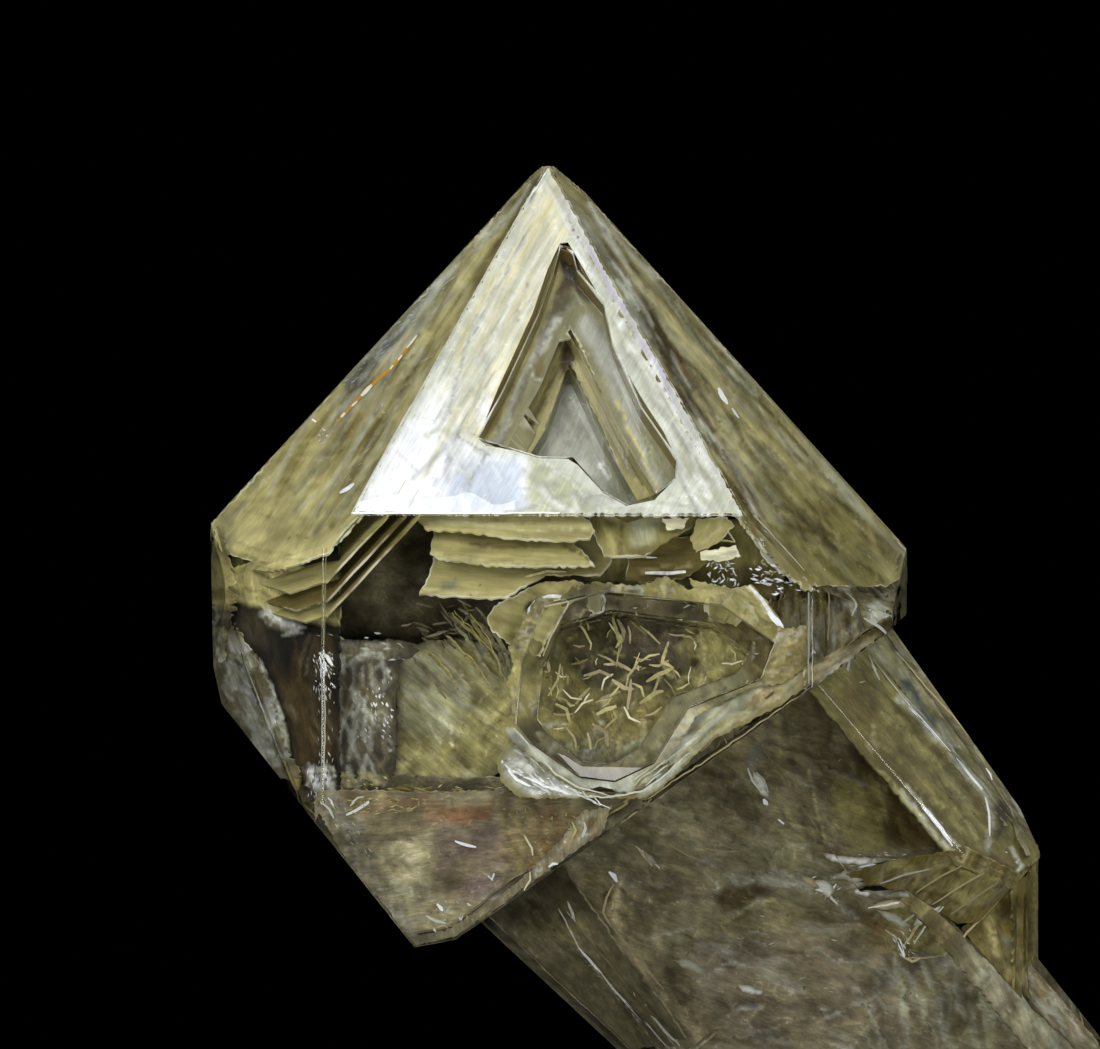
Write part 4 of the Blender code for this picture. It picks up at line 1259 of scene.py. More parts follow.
def curled_flakes():
    """Thin curled shells that stand in the hollow of the front prism, and the rods and threads in it."""
    shells = Growth("curled_flakes", "growth", seed=25)
    shells.layer("front_prism", 2.0, "487,618 491,630 509,644 540,655 545,641 556,623 568,603 574,598 "
            "588,586 575,580 540,583 512,597 494,606", "khaki", [
        patch("olive", 10, "490,612 524,620 540,650 508,642 492,628", 0.8),
        patch("dusk", 3, "524,610 530,602 541,598 536,606 528,620"),
        line("bronze", 2, "553,640 556,618 568,602", 0.7),
        line("cream", 3, "542,653 548,636 560,616 570,600")], grain=(20, 6), spacing=3, ripple=0.5,
        ripple_px=30)
    # The snow ribbon on this curl's rim paints light caught by its edge.
    shells.ribbon("front_prism", 1.5, "527,620 529,609 536,601 548,596 566,597 578,592 588,584", 3.5,
        "snow")
    shells.ribbon("front_prism", 1.5, "543,654 549,638 560,617 569,601", 2, "cream")
    shells.ribbon("front_prism", 1.5, "512,588 528,576 548,571 566,572", 2.5, "straw")
    shells.ribbon("front_prism", 1.5, "588,585 600,589 605,598 603,609 597,614 590,613", 3, "ash")
    shells.layer("front_prism", 1.8, "590,588 600,591 603,600 600,610 593,612 586,604", "olive_ash",
        spacing=3)
    shells.layer("front_prism", 1.2, "689,578 702,582 718,585 734,588 745,585 751,584 764,598 776,614 "
            "784,626 783,635 762,626 739,624 712,618 694,594", "khaki", [
        patch("straw", 6, "690,578 730,588 750,600 720,600", 0.7),
        line("cream", 3, "748,586 764,606 780,630"),
        patch("moss", 6, "712,606 744,612 740,622 714,616", 0.6)], grain=(25, 6), spacing=3, ripple=0.3,
        ripple_px=24)
    # Milk and snow ribbons: a painted highlight on the flake's rim.
    shells.ribbon("front_prism", 0.9, "749,585 762,600 776,620 784,634", 4, "milk")
    shells.ribbon("front_prism", 0.8, "768,612 778,622 784,634", 6, "snow")
    shells.layer("front_prism", 3.0, "634,607 650,596 672,588 704,594 690,606 660,610", "bronze", [
        line("straw", 2, "640,604 672,594 700,596")], spacing=3)
    shells.ribbon("front_prism", 2.5, "632,607 646,594 664,587 682,586", 3, "mist")
    shells.ribbon("front_prism", 2.5, "633,608 660,611 690,604 704,594", 2, "straw")
    shells.ribbon("front_prism", 2.2, "645,573 668,573 686,572", 3.5, "milk", taper=0.6)
    shells.ribbon("front_prism", 2.2, "627,558 644,557 657,558", 2, "mist")
    shells.ribbon("front_prism", 2.0, "709,541 716,532 723,526 730,534 735,542", 2, "cream")
    shells.ribbon("front_prism", 2.0, "709,541 722,540 735,542", 2, "straw")
    shells.ribbon("front_prism", 2.0, "684,606 694,600 702,594", 1.6, "mist")
    rods = ("576,616 584,626 591,640 590,646", "613,613 616,626 620,639", "618,616 624,628 622,638",
        "640,656 634,664 628,672 626,684", "668,638 666,648 662,658 673,664", "674,664 660,670 646,678",
        "660,670 656,682 650,696", "631,676 630,690 627,706", "597,711 606,706 616,702",
        "612,704 616,714 604,726", "584,672 600,668 612,672", "612,676 624,684 634,686",
        "560,660 558,676 548,692", "576,700 584,690 590,684", "592,720 606,728 608,742",
        "566,724 574,734 576,746", "556,700 566,706 570,718", "640,700 654,690 664,688",
        "598,650 610,656 622,664", "604,660 618,660 634,668", "586,616 592,612 600,616",
        "640,622 652,632 660,640", "620,688 604,694 596,700", "548,640 546,656 550,668",
        "640,658 650,652 660,650", "616,644 622,636 618,628")
    for number, rod in enumerate(rods):
        shade = ("straw", "khaki", "fawn", "sand")[number % 4]
        shells.ribbon("front_prism", 3.6 + 0.1 * (number % 5), rod, 2.4 + number % 3, shade, waver=1.2,
            end_depth=3.8 + 0.1 * (number % 4))
    for number in range(90):
        x, y = shells.rng.uniform((548, 616), (735, 748))
        heading, length = shells.rng.uniform(0, math.pi), shells.rng.uniform(6, 24)
        bend = heading + shells.rng.uniform(-0.9, 0.9)
        half = length / 2
        along, across = math.cos(heading) + math.cos(bend), math.sin(heading) + math.sin(bend)
        points = [(x, y), (x + half * math.cos(heading), y + half * math.sin(heading)),
                  (x + half * along, y + half * across)]
        shells.ribbon("front_prism", shells.rng.uniform(3.6, 4.2), points, shells.rng.uniform(1.0, 2.6),
            ("khaki", "straw", "olive", "sand", "cream")[number % 5], waver=1)
    curls = "khaki fawn dusk olive straw ash night haze"
    shells.layer("front_prism", 2.2, "516,722 522,661 545,603 601,588 724,601 778,642 763,680 690,709 "
            "656,764 615,782 578,778 528,742", "deep", [
        patch("olive", 10, "516,722 522,661 545,603 564,620 545,720", 0.8),
        patch("bronze", 8, "690,600 724,602 778,642 763,680 730,670 740,646", 0.6),
        patch("olive_ash", 8, "640,740 680,690 740,668 763,680 690,709 656,764", 0.8),
        patch("haze", 6, "528,742 560,736 610,762 640,744 656,764 615,782", 0.7),
        *lenses("516,722 522,661 545,603 601,588 724,601 778,642 763,680 690,709 656,764 615,782 578,778",
            260, 26, 0.35, curls, -30, 1.2, (0.3, 0.9), seed=57)], holes=[HOLLOW_PIT], spacing=2.6, fray=0,
        rim=False, ripple=0.1, mottle=0.35, grain=(60, 2))
    shells.layer("front_prism", 0.5, "504,730 512,712 506,684 514,664 508,646 524,620 536,596 560,600 "
            "572,586 600,582 640,586 664,576 690,590 718,586 748,598 760,620 788,628 806,626 806,668 "
            "780,684 752,688 716,706 696,716 676,748 664,772 630,794 600,786 584,792 556,778 540,762 "
            "516,746", "olive", [
        patch("deep", 6, "536,596 560,600 572,586 640,586 640,600 550,606 530,650 516,660", 0.8),
        patch("khaki", 8, "690,590 726,588 756,602 770,636 740,616 700,602", 0.8),
        patch("bronze", 8, "762,622 806,626 806,668 780,684 764,680 778,644", 0.7),
        patch("olive_ash", 6, "690,706 762,678 780,684 752,690 704,714", 0.8),
        patch("ash", 6, "640,770 690,706 704,712 664,772 630,794", 0.6),
        patch("mist", 6, "514,728 530,744 580,778 616,782 640,770 630,794 590,792 520,748 504,730", 0.8),
        *lenses("506,720 508,646 536,598 600,580 690,588 750,598 770,630 720,604 600,592 550,606 524,664 "
            "520,720", 200, 24, 0.35, curls, -30, 1.2, (0.3, 0.9), seed=55),
        *lenses("740,610 806,626 806,668 752,688 664,772 630,794 640,770 690,706 762,676 776,642", 160, 26,
            0.3, "khaki fawn sand ash umber sage straw bronze", -38, 0.5, (0.3, 0.9), seed=58)],
        holes=[HOLLOW_RIM], spacing=2.6, fray=1.5, rim=False, ripple=0.1, mottle=0.35, grain=(60, 2))
    shells.finish()


def ridge_frost():
    """Frosted band along the lower right edge of the front prism, where the stem grows out: frosting,
    whitened partly by a painted reflection off the ridge.
    """
    frost = Growth("ridge_frost", "frost", seed=26)
    band = ("497,760 514,728 529,746 557,776 588,792 614,796 653,760 688,704 721,692 762,676 806,650 "
        "809,690 760,716 709,742 663,788 645,798 520,798 500,780")
    frost.layer("front_prism", 0.7, band, "olive_ash", [
        patch("fawn", 10, "700,700 806,652 806,690 740,722 690,760 680,740", 0.6),
        line("olive", 7, "680,745 716,716 760,694 800,668", 0.5),
        patch("mist", 8, "516,752 540,770 580,790 614,797 600,798 530,798 504,776", 0.6),
        patch("ash", 9, "636,786 664,752 690,716 716,704 690,742 662,776", 0.6),
        line("cream", 3, "632,790 660,764 706,716 760,688", 0.6),
        line("bronze", 2, "640,792 670,764 712,728", 0.6),
        line("rust", 3, "600,797 630,796", 0.6),
        patch("clay", 5, "740,700 770,690 776,700 750,712", 0.7),
        *scribble("614,797 654,756 688,700 724,690 728,726 664,788", 120, 60, 4,
            "milk mist ash sage olive_ash moss", -42, 0.1, (0.2, 0.7), seed=36),
        *scribble("700,700 806,650 808,688 740,724 690,756", 110, 60, 4,
            "fawn sage khaki bronze olive umber", -34, 0.08, (0.2, 0.7), seed=37),
        *lenses("620,790 664,750 700,706 800,656 800,690 700,748", 60, 44, 0.2, "mist ash sage sand umber",
            -38, 0.15, (0.2, 0.8), seed=38),
        *lenses("505,764 520,750 560,776 612,790 610,798 530,797", 40, 34, 0.3, "snow milk mist ash", 30,
            0.3, (0.3, 0.9), seed=39)], grain=(-40, 7), spacing=2.8, ripple=0.2, mottle=0.35, fade=5,
        ground="olive")
    frost.flakes("front_prism", 0.5, "497,758 514,730 560,776 612,796 530,797 500,780", 50, 30,
        "milk mist ash snow", "olive_ash", angle=38, wander=0.3, spread=0.4, strength=(0.3, 1), slim=0.22,
        tilt=25)
    for number in range(9):
        x, y = 505 + 11 * number, 764 + 4 * number
        frost.ribbon("front_prism", 0.35, [(x, y), (x + 7, y + 7), (x + 18, y + 12)], frost.rng.uniform(1,
            2.6), ("milk", "mist")[number % 2], waver=1.5)
    for number in range(12):
        share = frost.rng.uniform(0, 1)
        x, y = 640 + 120 * share, 784 - 92 * share ** 0.9 + frost.rng.uniform(-8, 10)
        reach = frost.rng.uniform(14, 34)
        frost.ribbon("front_prism", 0.35, [(x - reach / 2, y + reach * 0.42), (x, y),
            (x + reach / 2, y - reach * 0.38)], frost.rng.uniform(0.8, 1.8),
            ("ash", "sage", "mist", "sand")[number % 4], waver=1.2)
    frost.ribbon("front_prism", 0.3, "580,796 612,797 640,792 664,776 690,752", 1.8, "mist", waver=2)
    frost.ribbon("front_prism", 0.3, "514,728 530,746 556,774 580,788 612,796", 1.8, "mist", waver=1)
    frost.ribbon("front_prism", 0.3, "648,799 700,764 762,722 811,687", 1.6, "fawn", waver=2.5)
    frost.ribbon("front_underside", 0.3, "508,908 546,880 600,839 652,801", 1.8, "fawn", waver=2.5)
    frost.ribbon("front_underside", 0.25, "508,910 522,899 534,890", 5, "milk", waver=1.5)
    # White and snow ribbons and white splinters: frosting, with a painted reflection off the ridge.
    frost.ribbon("front_prism", 0.3, "508,770 516,780 530,786", 3, "white", waver=2)
    frost.ribbon("front_prism", 0.3, "524,776 544,786 570,794", 2.4, "snow", waver=2)
    frost.splinters("front_prism", 0.3, "503,764 530,772 600,796 540,796", 60, 8, "white", angle=30,
        spread=0.15)
    frost.finish()


def left_prism_growth():
    """Dark clear side of the head, with its frosted outer facet."""
    side = Growth("left_prism_growth", "veil", seed=27)
    side.layer("left_prism", 1.5, "226,540 326,546 326,800 290,776 250,726 226,660", "night", [
        patch("khaki", 5, "226,540 326,570 326,626 300,620 262,610 226,602"),
        patch("straw", 6, "236,548 262,560 324,570 324,578 262,568 236,556", 0.7),
        # Light and dark lines alternate like stacked plate edges: the light ones paint lit rims, the dark
        # ones the shade under them.
        line("bronze", 2, "246,557 272,567 326,576", 0.8),
        line("straw", 3, "250,566 280,576 326,584", 0.6),
        line("umber", 2, "256,573 284,584 326,590", 0.7),
        line("sand", 3, "258,580 290,592 326,596", 0.7),
        line("bronze", 4, "244,588 280,600 326,608", 0.6),
        line("straw", 2, "232,598 266,607 326,620", 0.5),
        patch("dusk", 10, "236,608 264,614 266,650 240,640", 0.9),
        patch("smoke", 6, "262,612 300,622 304,632 270,626", 0.7),
        *lenses("262,606 304,622 300,634 262,620", 24, 26, 0.3, "mist ash milk", 18, 0.3, (0.3, 0.9),
            seed=40),
        patch("umber", 12, "278,676 300,670 322,700 322,760 300,764 288,720", 0.5),
        *scribble("270,640 322,650 322,764 296,766 282,700", 50, 50, 5, "smoke umber night dusk", 76, 0.2,
            (0.1, 0.5), seed=41),
        patch("smoke", 4, "302,770 320,772 322,798 310,796", 0.8),
        # Snow lenses at the lower right paint a glint.
        *lenses("300,768 322,768 324,800 308,798", 26, 20, 0.35, "snow mist ash dusk", 70, 0.3, (0.4, 1),
            seed=42)], spacing=3, ripple=0.1, mottle=0.25, rim=False, margin=0.85, grain=(80, 4))
    facet = "237,632 250,648 262,660 274,688 284,712 289,738 291,756 276,768 262,760 246,738 237,715"
    side.layer("left_prism", 1.2, facet, "haze", [
        patch("sage", 8, "240,650 258,664 272,700 276,740 258,730 242,690", 0.5),
        line("mist", 2, "262,664 276,696 286,726 288,752", 0.9),
        line("mist", 2, "264,700 270,720 274,744", 0.8),
        line("dusk", 3, "266,710 274,730 276,746", 0.6),
        *lenses(facet, 130, 34, 0.35, "milk mist sage smoke dusk ash", 62, 0.35, (0.4, 1), seed=43)],
        grain=(66, 5), spacing=2.8, ripple=0.2, mottle=0.3, fade=3, ground="dusk")
    side.layer("left_prism", 1.0, "264,752 290,758 300,768 302,780 298,794 284,780", "olive", [
        line("straw", 3, "268,756 288,758 300,768", 0.8)], spacing=3, fade=3, ground="umber", mottle=0.3)
    # Snow splinters: a painted glint.
    side.splinters("left_prism", 0.8, "302,770 320,772 320,800 308,798", 12, 8, "snow", angle=75,
        spread=0.3)
    side.splinters("left_prism", 0.8, "244,640 262,660 286,740 262,750 240,700", 24, 7, "milk", angle=62,
        spread=0.2)
    side.finish()

    flank = Growth("left_flank_growth", "veil", seed=28)
    flank.layer("left_flank", 0.6, "213,530 219,524 232,540 235,600 235,660 226,680 215,660 211,600",
        "khaki", [
        patch("olive_ash", 4, "210,526 232,540 234,560 210,556", 0.6),
        patch("bronze", 3, "212,584 236,590 236,600 212,596", 0.6),
        patch("dusk", 6, "208,604 240,606 240,636 208,630", 0.9),
        patch("haze", 5, "208,634 240,640 240,700 208,690", 0.8),
        *lenses("208,600 240,600 240,690 212,680", 50, 26, 0.35, "mist ash dusk sage smoke", 70, 0.3,
            (0.4, 1), seed=44)], grain=(88, 4), spacing=2.6, mottle=0.25, rim=False)
    flank.layer("left_lower_flank", 0.6, "206,640 230,620 250,660 266,700 280,744 296,780 276,778 240,750 "
            "216,700", "haze", [
        patch("sage", 8, "222,650 240,670 262,722 250,730 232,690", 0.4),
        *lenses("208,640 236,640 284,760 270,770 226,710", 120, 34, 0.35, "milk mist sage smoke dusk ash",
            62, 0.35, (0.4, 1), seed=45)], grain=(62, 5), spacing=2.6, ripple=0.15, mottle=0.3, rim=False)
    flank.finish()


def right_prism_growth():
    """Brown and glassy corner on the right of the head."""
    side = Growth("right_prism_growth", "veil", seed=45)
    side.layer("right_prism", 3.0, "806,584 912,584 912,630 860,664 806,696", "bronze", [
        patch("umber", 10, "814,592 852,594 850,620 814,630", 0.8),
        patch("fawn", 8, "846,620 880,608 890,624 850,650 820,670", 0.7),
        patch("haze", 8, "816,640 850,630 840,660 816,680", 0.6),
        patch("night", 5, "830,596 852,596 850,626 832,630", 0.5),
        *scribble("808,588 908,588 908,630 860,660 808,692", 140, 46, 5, "umber fawn dusk khaki ash moss",
            84, 0.25, (0.2, 0.7), seed=46),
        *lenses("840,600 906,596 906,626 850,656 820,672", 50, 34, 0.3, "ash fawn mist dusk", -28, 0.4,
            (0.2, 0.8), seed=47)], rim=False, spacing=3, ripple=0.3, mottle=0.3, grain=(85, 3))
    side.layer("right_prism", 1.2, "858,590 906,588 910,620 880,644 866,632 860,610", "olive_ash", [
        patch("ash", 5, "876,592 902,592 900,606 880,604", 0.7),
        patch("mist", 4, "862,612 884,604 896,616 880,630", 0.6)], fade=4, ground="bronze", mottle=0.4,
        grain=(40, 3))
    side.layer("right_prism", 0.5, "804,704 806,668 850,644 880,624 912,606 914,634 870,668 836,690",
        "bronze", [
        *lenses("806,700 806,670 880,628 912,610 906,640 850,680", 90, 40, 0.3,
            "fawn sand umber ash khaki dusk", -32, 0.25, (0.3, 0.9), seed=56),
        line("ash", 4, "808,690 840,668 876,648 904,626", 0.6)], margin=0.2, rim=False, spacing=2.8,
        ripple=0.1, mottle=0.3, grain=(-32, 4))
    side.layer("right_flank", 0.5, "902,556 914,566 924,610 920,636 904,650 900,610", "olive_ash", [
        line("ash", 3, "910,566 917,600 914,630", 0.8)], rim=False, mottle=0.4, grain=(88, 3), spacing=3)
    side.finish()

    sparks = Growth("right_prism_glints", "glint", seed=46)
    sparks.ribbon("right_prism", 0.4, "812,592 812,640 812,684", 1.6, "ash", taper=0.7)
    sparks.ribbon("right_prism", 0.4, "829,594 829,620 828,640", 1.4, "fawn", taper=0.7)
    sparks.ribbon("right_prism", 0.4, "854,594 856,606 852,616", 2, "mist")
    sparks.ribbon("right_prism", 0.4, "864,618 878,626 890,636", 3, "mist")
    sparks.splinters("right_prism", 0.5, "866,592 906,592 904,624 870,628", 24, 7, "snow", spread=0.3,
        slim=0.4)
    sparks.splinters("right_prism", 0.8, "814,592 860,594 850,640 814,640", 20, 7, "fawn", angle=85,
        spread=0.5)
    sparks.splinters("right_terminal", 0.4, "800,548 900,552 888,584 812,584", 26, 7, "mist", spread=0.2)
    sparks.finish()


def lower_face_growth():
    """Rosy and grey veiled foot of the head, below the front prism."""
    foot = Growth("lower_face_growth", "veil", seed=30)
    outline = "310,796 660,796 604,840 548,882 516,906 486,930 446,950 416,946 398,926 356,876"
    foot.layer("front_underside", 5, outline, "smoke_light", [
        patch("clay", 20, "420,860 520,860 510,900 430,896", 0.6)], rim=False, spacing=6, ripple=0.4,
        mottle=0.3, grain=(0, 2))
    marks = []
    for region, count, length, tints, angle, slim in (
            ("340,802 420,802 424,816 352,818", 40, 26, "clay fawn straw rose", 0, 0.3),
            ("350,816 430,816 430,850 372,850", 40, 30, "smoke_light smoke fawn", 0, 0.4),
            ("400,842 440,838 446,874 410,870", 50, 15, "cream sand straw", 40, 0.5),
            ("476,872 500,872 500,906 480,902", 26, 13, "cream sand milk", -20, 0.5),
            ("430,830 520,828 530,880 500,900 440,880", 130, 26, "plum mauve smoke fawn", -15, 0.4),
            ("500,806 590,806 576,846 540,880 508,880", 130, 18, "bronze fawn clay umber khaki", 60, 0.4),
            ("360,850 404,850 450,900 500,904 440,940 410,930", 130, 22, "fawn sage sand olive_ash", 50,
                0.35),
            ("326,803 346,803 376,862 416,930 400,920 350,856", 80, 24, "ash haze smoke_light dusk", 55,
                0.2)):
        marks += scribble(region, count * 2, length * 1.6, length * slim * 0.8, tints, angle, 0.5,
            (0.08, 0.35), seed=20 + count)
        marks += lenses(region, count // 3, length * 1.8, slim, tints, angle, 0.5, (0.15, 0.6),
            seed=60 + count)
    marks += lenses("530,880 590,830 600,806 560,850 500,900 470,930 440,940", 30, 24, 0.4,
        "sand milk mist fawn", -45, 0.4, (0.3, 0.9), seed=61)
    foot.layer("front_underside", 1.2, outline, "smoke_light", [
        patch("haze", 16, "420,905 500,900 530,896 480,930 440,944 412,934", 0.8),
        patch("haze", 14, "352,850 404,840 440,880 430,920 400,920 366,880", 0.55),
        patch("clay", 6, "345,802 420,802 420,812 360,814", 0.6),
        patch("fawn", 5, "360,800 420,802 490,800 490,806 420,806", 0.6),
        patch("smoke", 8, "353,820 426,818 430,848 368,846", 0.8),
        patch("clay", 3, "420,807 492,807 492,824 424,822", 0.9),
        patch("plum", 12, "425,828 524,826 530,850 500,866 440,850", 0.75),
        patch("mauve", 8, "446,848 486,850 484,866 450,864", 0.8),
        patch("rose", 6, "452,846 484,850 482,858 456,856", 0.5),
        patch("clay", 9, "417,864 440,862 452,874 456,892 430,888", 0.6),
        line("clay", 9, "428,892 460,902 490,900 506,896", 0.8),
        patch("clay", 8, "450,864 486,870 500,890 470,898 450,884", 0.6),
        patch("clay", 10, "536,812 580,808 580,840 560,864 534,858", 0.5),
        patch("bronze", 8, "500,812 536,808 534,850 504,846", 0.45),
        patch("khaki", 8, "510,836 530,850 528,890 510,890", 0.35),
        patch("umber", 3, "532,846 540,850 538,858 532,854"),
        patch("umber", 3, "548,812 556,814 552,822"),
        patch("umber", 3, "570,824 578,828 574,838"),
        patch("umber", 4, "532,876 546,872 542,882 532,884"),
        line("ash", 6, "330,808 356,846 386,890 412,928", 0.3),
        line("smoke", 6, "326,808 344,836 372,880 398,914", 0.6),
        line("cream", 3, "588,826 579,845 556,867 540,880 525,895 510,906", 0.8),
        *marks], grain=(-4, 3), spacing=2.8, ripple=0.3, mottle=0.3, rim=False)
    foot.layer("front_underside", 0.5, "612,806 600,838 552,880 518,906 488,930 440,948 436,936 486,908 "
            "520,880 560,842 582,812", "fawn", [
        *lenses("600,806 600,838 552,880 488,930 440,948 440,930 520,878 580,810", 110, 22, 0.4,
            "milk sand mist clay umber fawn", -42, 0.5, (0.3, 0.9), seed=62)], spacing=2.6, fade=7,
        ground="smoke_light", ripple=0.1, mottle=0.3)
    foot.finish()

    sparks = Growth("lower_face_glints", "glint", seed=31)
    for points, width, tint in (("346,815 356,810 369,803", 3, "milk"),
            ("350,806 358,799 364,798", 2, "mist"), ("455,841 466,845 476,847", 3, "snow"),
            ("437,904 441,908 443,911", 4, "white"), ("322,803 330,810 334,818", 2.4, "mist"),
            ("328,799 334,806", 2, "milk"), ("426,916 436,921 446,923", 3, "mist"),
            ("549,867 553,864 558,864", 3, "white"), ("510,911 516,906 524,898", 5, "milk"),
            ("584,822 586,828 582,838", 3, "mist"), ("572,822 576,830 572,838", 2.4, "straw"),
            ("488,876 492,880 494,874", 3, "milk"), ("524,836 532,848 533,856", 2, "cream"),
            ("524,890 530,880 530,872", 2, "cream")):
        sparks.ribbon("front_underside", 0.4, points, width, tint)
    sparks.splinters("front_underside", 0.4, "346,800 420,800 420,812 352,816", 50, 9, "straw", angle=0,
        spread=0.3)
    sparks.splinters("front_underside", 0.4, "500,806 588,806 560,862 520,870", 70, 6, "fawn", spread=0.3,
        slim=0.5)
    sparks.splinters("front_underside", 0.4, "420,900 470,900 470,930 424,930", 26, 7, "mist", spread=0.3,
        slim=0.5)
    sparks.splinters("front_underside", 0.4, "322,802 345,802 378,862 350,850", 30, 8, "ash", angle=50,
        spread=0.2)
    sparks.finish()


def stem_growth():
    """Smoky, veiled inside of the stem, seen through its front faces."""
    front = ("536,876 590,830 640,792 690,756 750,714 806,672 830,690 902,776 960,856 906,872 852,880 "
        "900,886 950,938 1000,990 1054,1052 676,1052 600,960")

    deep = Growth("stem_depths", "veil", seed=40)
    deep.layer("stem_front", 7, front, "smoke", [
        patch("umber", 24, "850,730 905,770 940,845 870,850 850,790", 0.6)], trim=False, rim=False,
        spacing=8, ripple=0.8, mottle=0.35, grain=(35, 3))
    deep.layer("stem_front", 3.4, front, "smoke_light", [
        *scribble(front, 260, 90, 18, "smoke haze dusk olive_ash bronze smoke_light", 20, 0.5, (0.1, 0.4),
            seed=12),
        *scribble("700,760 816,680 900,776 956,852 830,850 720,820", 160, 60, 10,
            "smoke umber bronze fawn olive", 60, 0.25, (0.15, 0.6), seed=13),
        *scribble("640,900 900,890 1040,1040 700,1046", 120, 70, 10, "fawn haze smoke deep umber", -4, 0.25,
            (0.1, 0.4), seed=14),
        patch("haze", 20, "600,842 700,780 740,800 720,860 620,870", 0.4),
        patch("smoke", 16, "640,850 740,850 700,900 640,960 600,920", 0.8),
        patch("smoke", 20, "700,770 816,700 850,740 860,840 780,830 720,810", 0.8),
        patch("bronze", 16, "700,764 760,732 800,760 760,790 710,786", 0.4),
        patch("umber", 12, "852,745 890,765 920,810 936,842 880,845 866,800", 0.85),
        patch("umber", 10, "892,775 930,812 950,848 900,850", 0.7),
        patch("olive", 5, "832,776 860,780 884,812 889,846 850,850 836,820", 0.85),
        line("bronze", 3, "832,778 860,800 888,836", 0.5),
        patch("haze", 4, "808,770 812,772 846,838 824,842", 0.9),
        line("straw", 2, "809,768 816,800 826,841", 0.8),
        line("fawn", 2, "824,810 836,826 846,838", 0.8),
        line("umber", 3, "840,690 832,712 830,740", 0.7),
        line("fawn", 2, "846,692 838,712 836,742", 0.6),
        line("umber", 3, "812,744 828,745 842,753", 0.7),
        patch("umber", 3, "790,748 797,747 799,762 795,768 789,762", 0.95),
        patch("slate", 4, "750,744 758,742 761,760 757,770 749,766", 0.8),
        line("umber", 3, "706,746 720,752 734,760", 0.7),
        line("umber", 4, "702,770 716,776 730,778", 0.7),
        line("umber", 3, "712,762 726,768", 0.6),
        patch("umber", 6, "690,790 720,788 716,800 694,800", 0.5),
        line("fawn", 2, "770,700 784,726 780,760", 0.5),
        patch("olive_ash", 14, "745,836 812,828 820,862 770,872 742,862", 0.6),
        line("ash", 8, "728,874 760,880 806,886", 0.6),
        patch("umber", 5, "724,888 772,888 766,898 724,914 716,902", 0.85),
        line("straw", 2, "774,900 740,912 722,922 730,934 744,942", 0.9),
        patch("bronze", 10, "720,920 780,900 840,912 800,940 740,940", 0.4),
        patch("bronze", 12, "868,915 900,905 920,940 890,958 866,940", 0.6),
        patch("rust", 8, "860,905 884,912 882,934 862,926", 0.5),
        patch("mauve", 22, "690,950 800,930 900,960 930,1040 760,1047 700,1010", 0.3),
        *lenses("640,900 900,880 1050,1048 690,1048", 170, 84, 0.26, "haze fawn deep olive_ash smoke ash",
            6, 0.4, (0.2, 0.6), seed=80),
        *lenses("630,900 900,880 1050,1048 690,1048", 120, 40, 0.22, "ash sand olive_ash umber mist", 8,
            0.35, (0.3, 0.8), seed=94),
        *lenses("600,840 700,780 810,690 900,790 850,850 700,890 610,880", 110, 38, 0.25,
            "ash fawn umber olive_ash dusk", 26, 0.5, (0.3, 0.75), seed=95),
        *lenses("600,840 700,780 800,700 860,840 700,890 610,880", 130, 70, 0.3,
            "haze deep dusk olive_ash smoke fawn", 30, 0.6, (0.2, 0.65), seed=81),
        *lenses("690,760 816,680 906,780 950,850 830,850", 80, 56, 0.24, "umber olive_ash deep khaki dusk",
            58, 0.3, (0.2, 0.65), seed=82),
        *lenses("820,870 940,860 950,900 860,930", 40, 46, 0.35, "ash mist fawn umber bronze", 8, 0.4,
            (0.3, 0.8), seed=83),
        *lenses("700,840 830,830 840,890 720,890", 40, 50, 0.3, "ash haze olive_ash deep", 8, 0.4,
            (0.2, 0.6), seed=84),
        *lenses("590,890 640,880 720,1040 680,1046", 60, 60, 0.25, "fawn sand haze umber", 56, 0.2,
            (0.2, 0.7), seed=85),
        patch("haze", 20, "930,960 990,980 1040,1040 960,1045", 0.6),
        line("smoke", 18, "590,896 604,940 640,985 690,1040", 0.7),
        line("umber", 4, "592,920 606,950 630,985 660,1016", 0.6),
        line("fawn", 10, "617,896 612,912 619,938 644,974 676,1012 704,1046", 0.8),
        line("sand", 4, "624,884 612,904 616,926 636,958 664,996", 0.6),
        patch("umber", 4, "600,896 614,892 612,906 602,906", 0.8),
        patch("olive", 6, "872,908 905,890 948,926 946,955 905,958 896,932", 0.8),
        *lenses("880,912 905,892 948,926 944,955 906,956", 30, 40, 0.2, "khaki umber sand bronze", -48,
            0.25, (0.4, 0.9), seed=96),
        *lenses("880,962 960,956 1056,1048 850,1048", 110, 62, 0.2, "olive_ash sage ash umber khaki smoke",
            72, 0.25, (0.3, 0.8), seed=97)], trim=False, rim=False, spacing=2.7, ripple=0.4, ripple_px=36,
        mottle=0.25, grain=(20, 3))
    deep.finish()

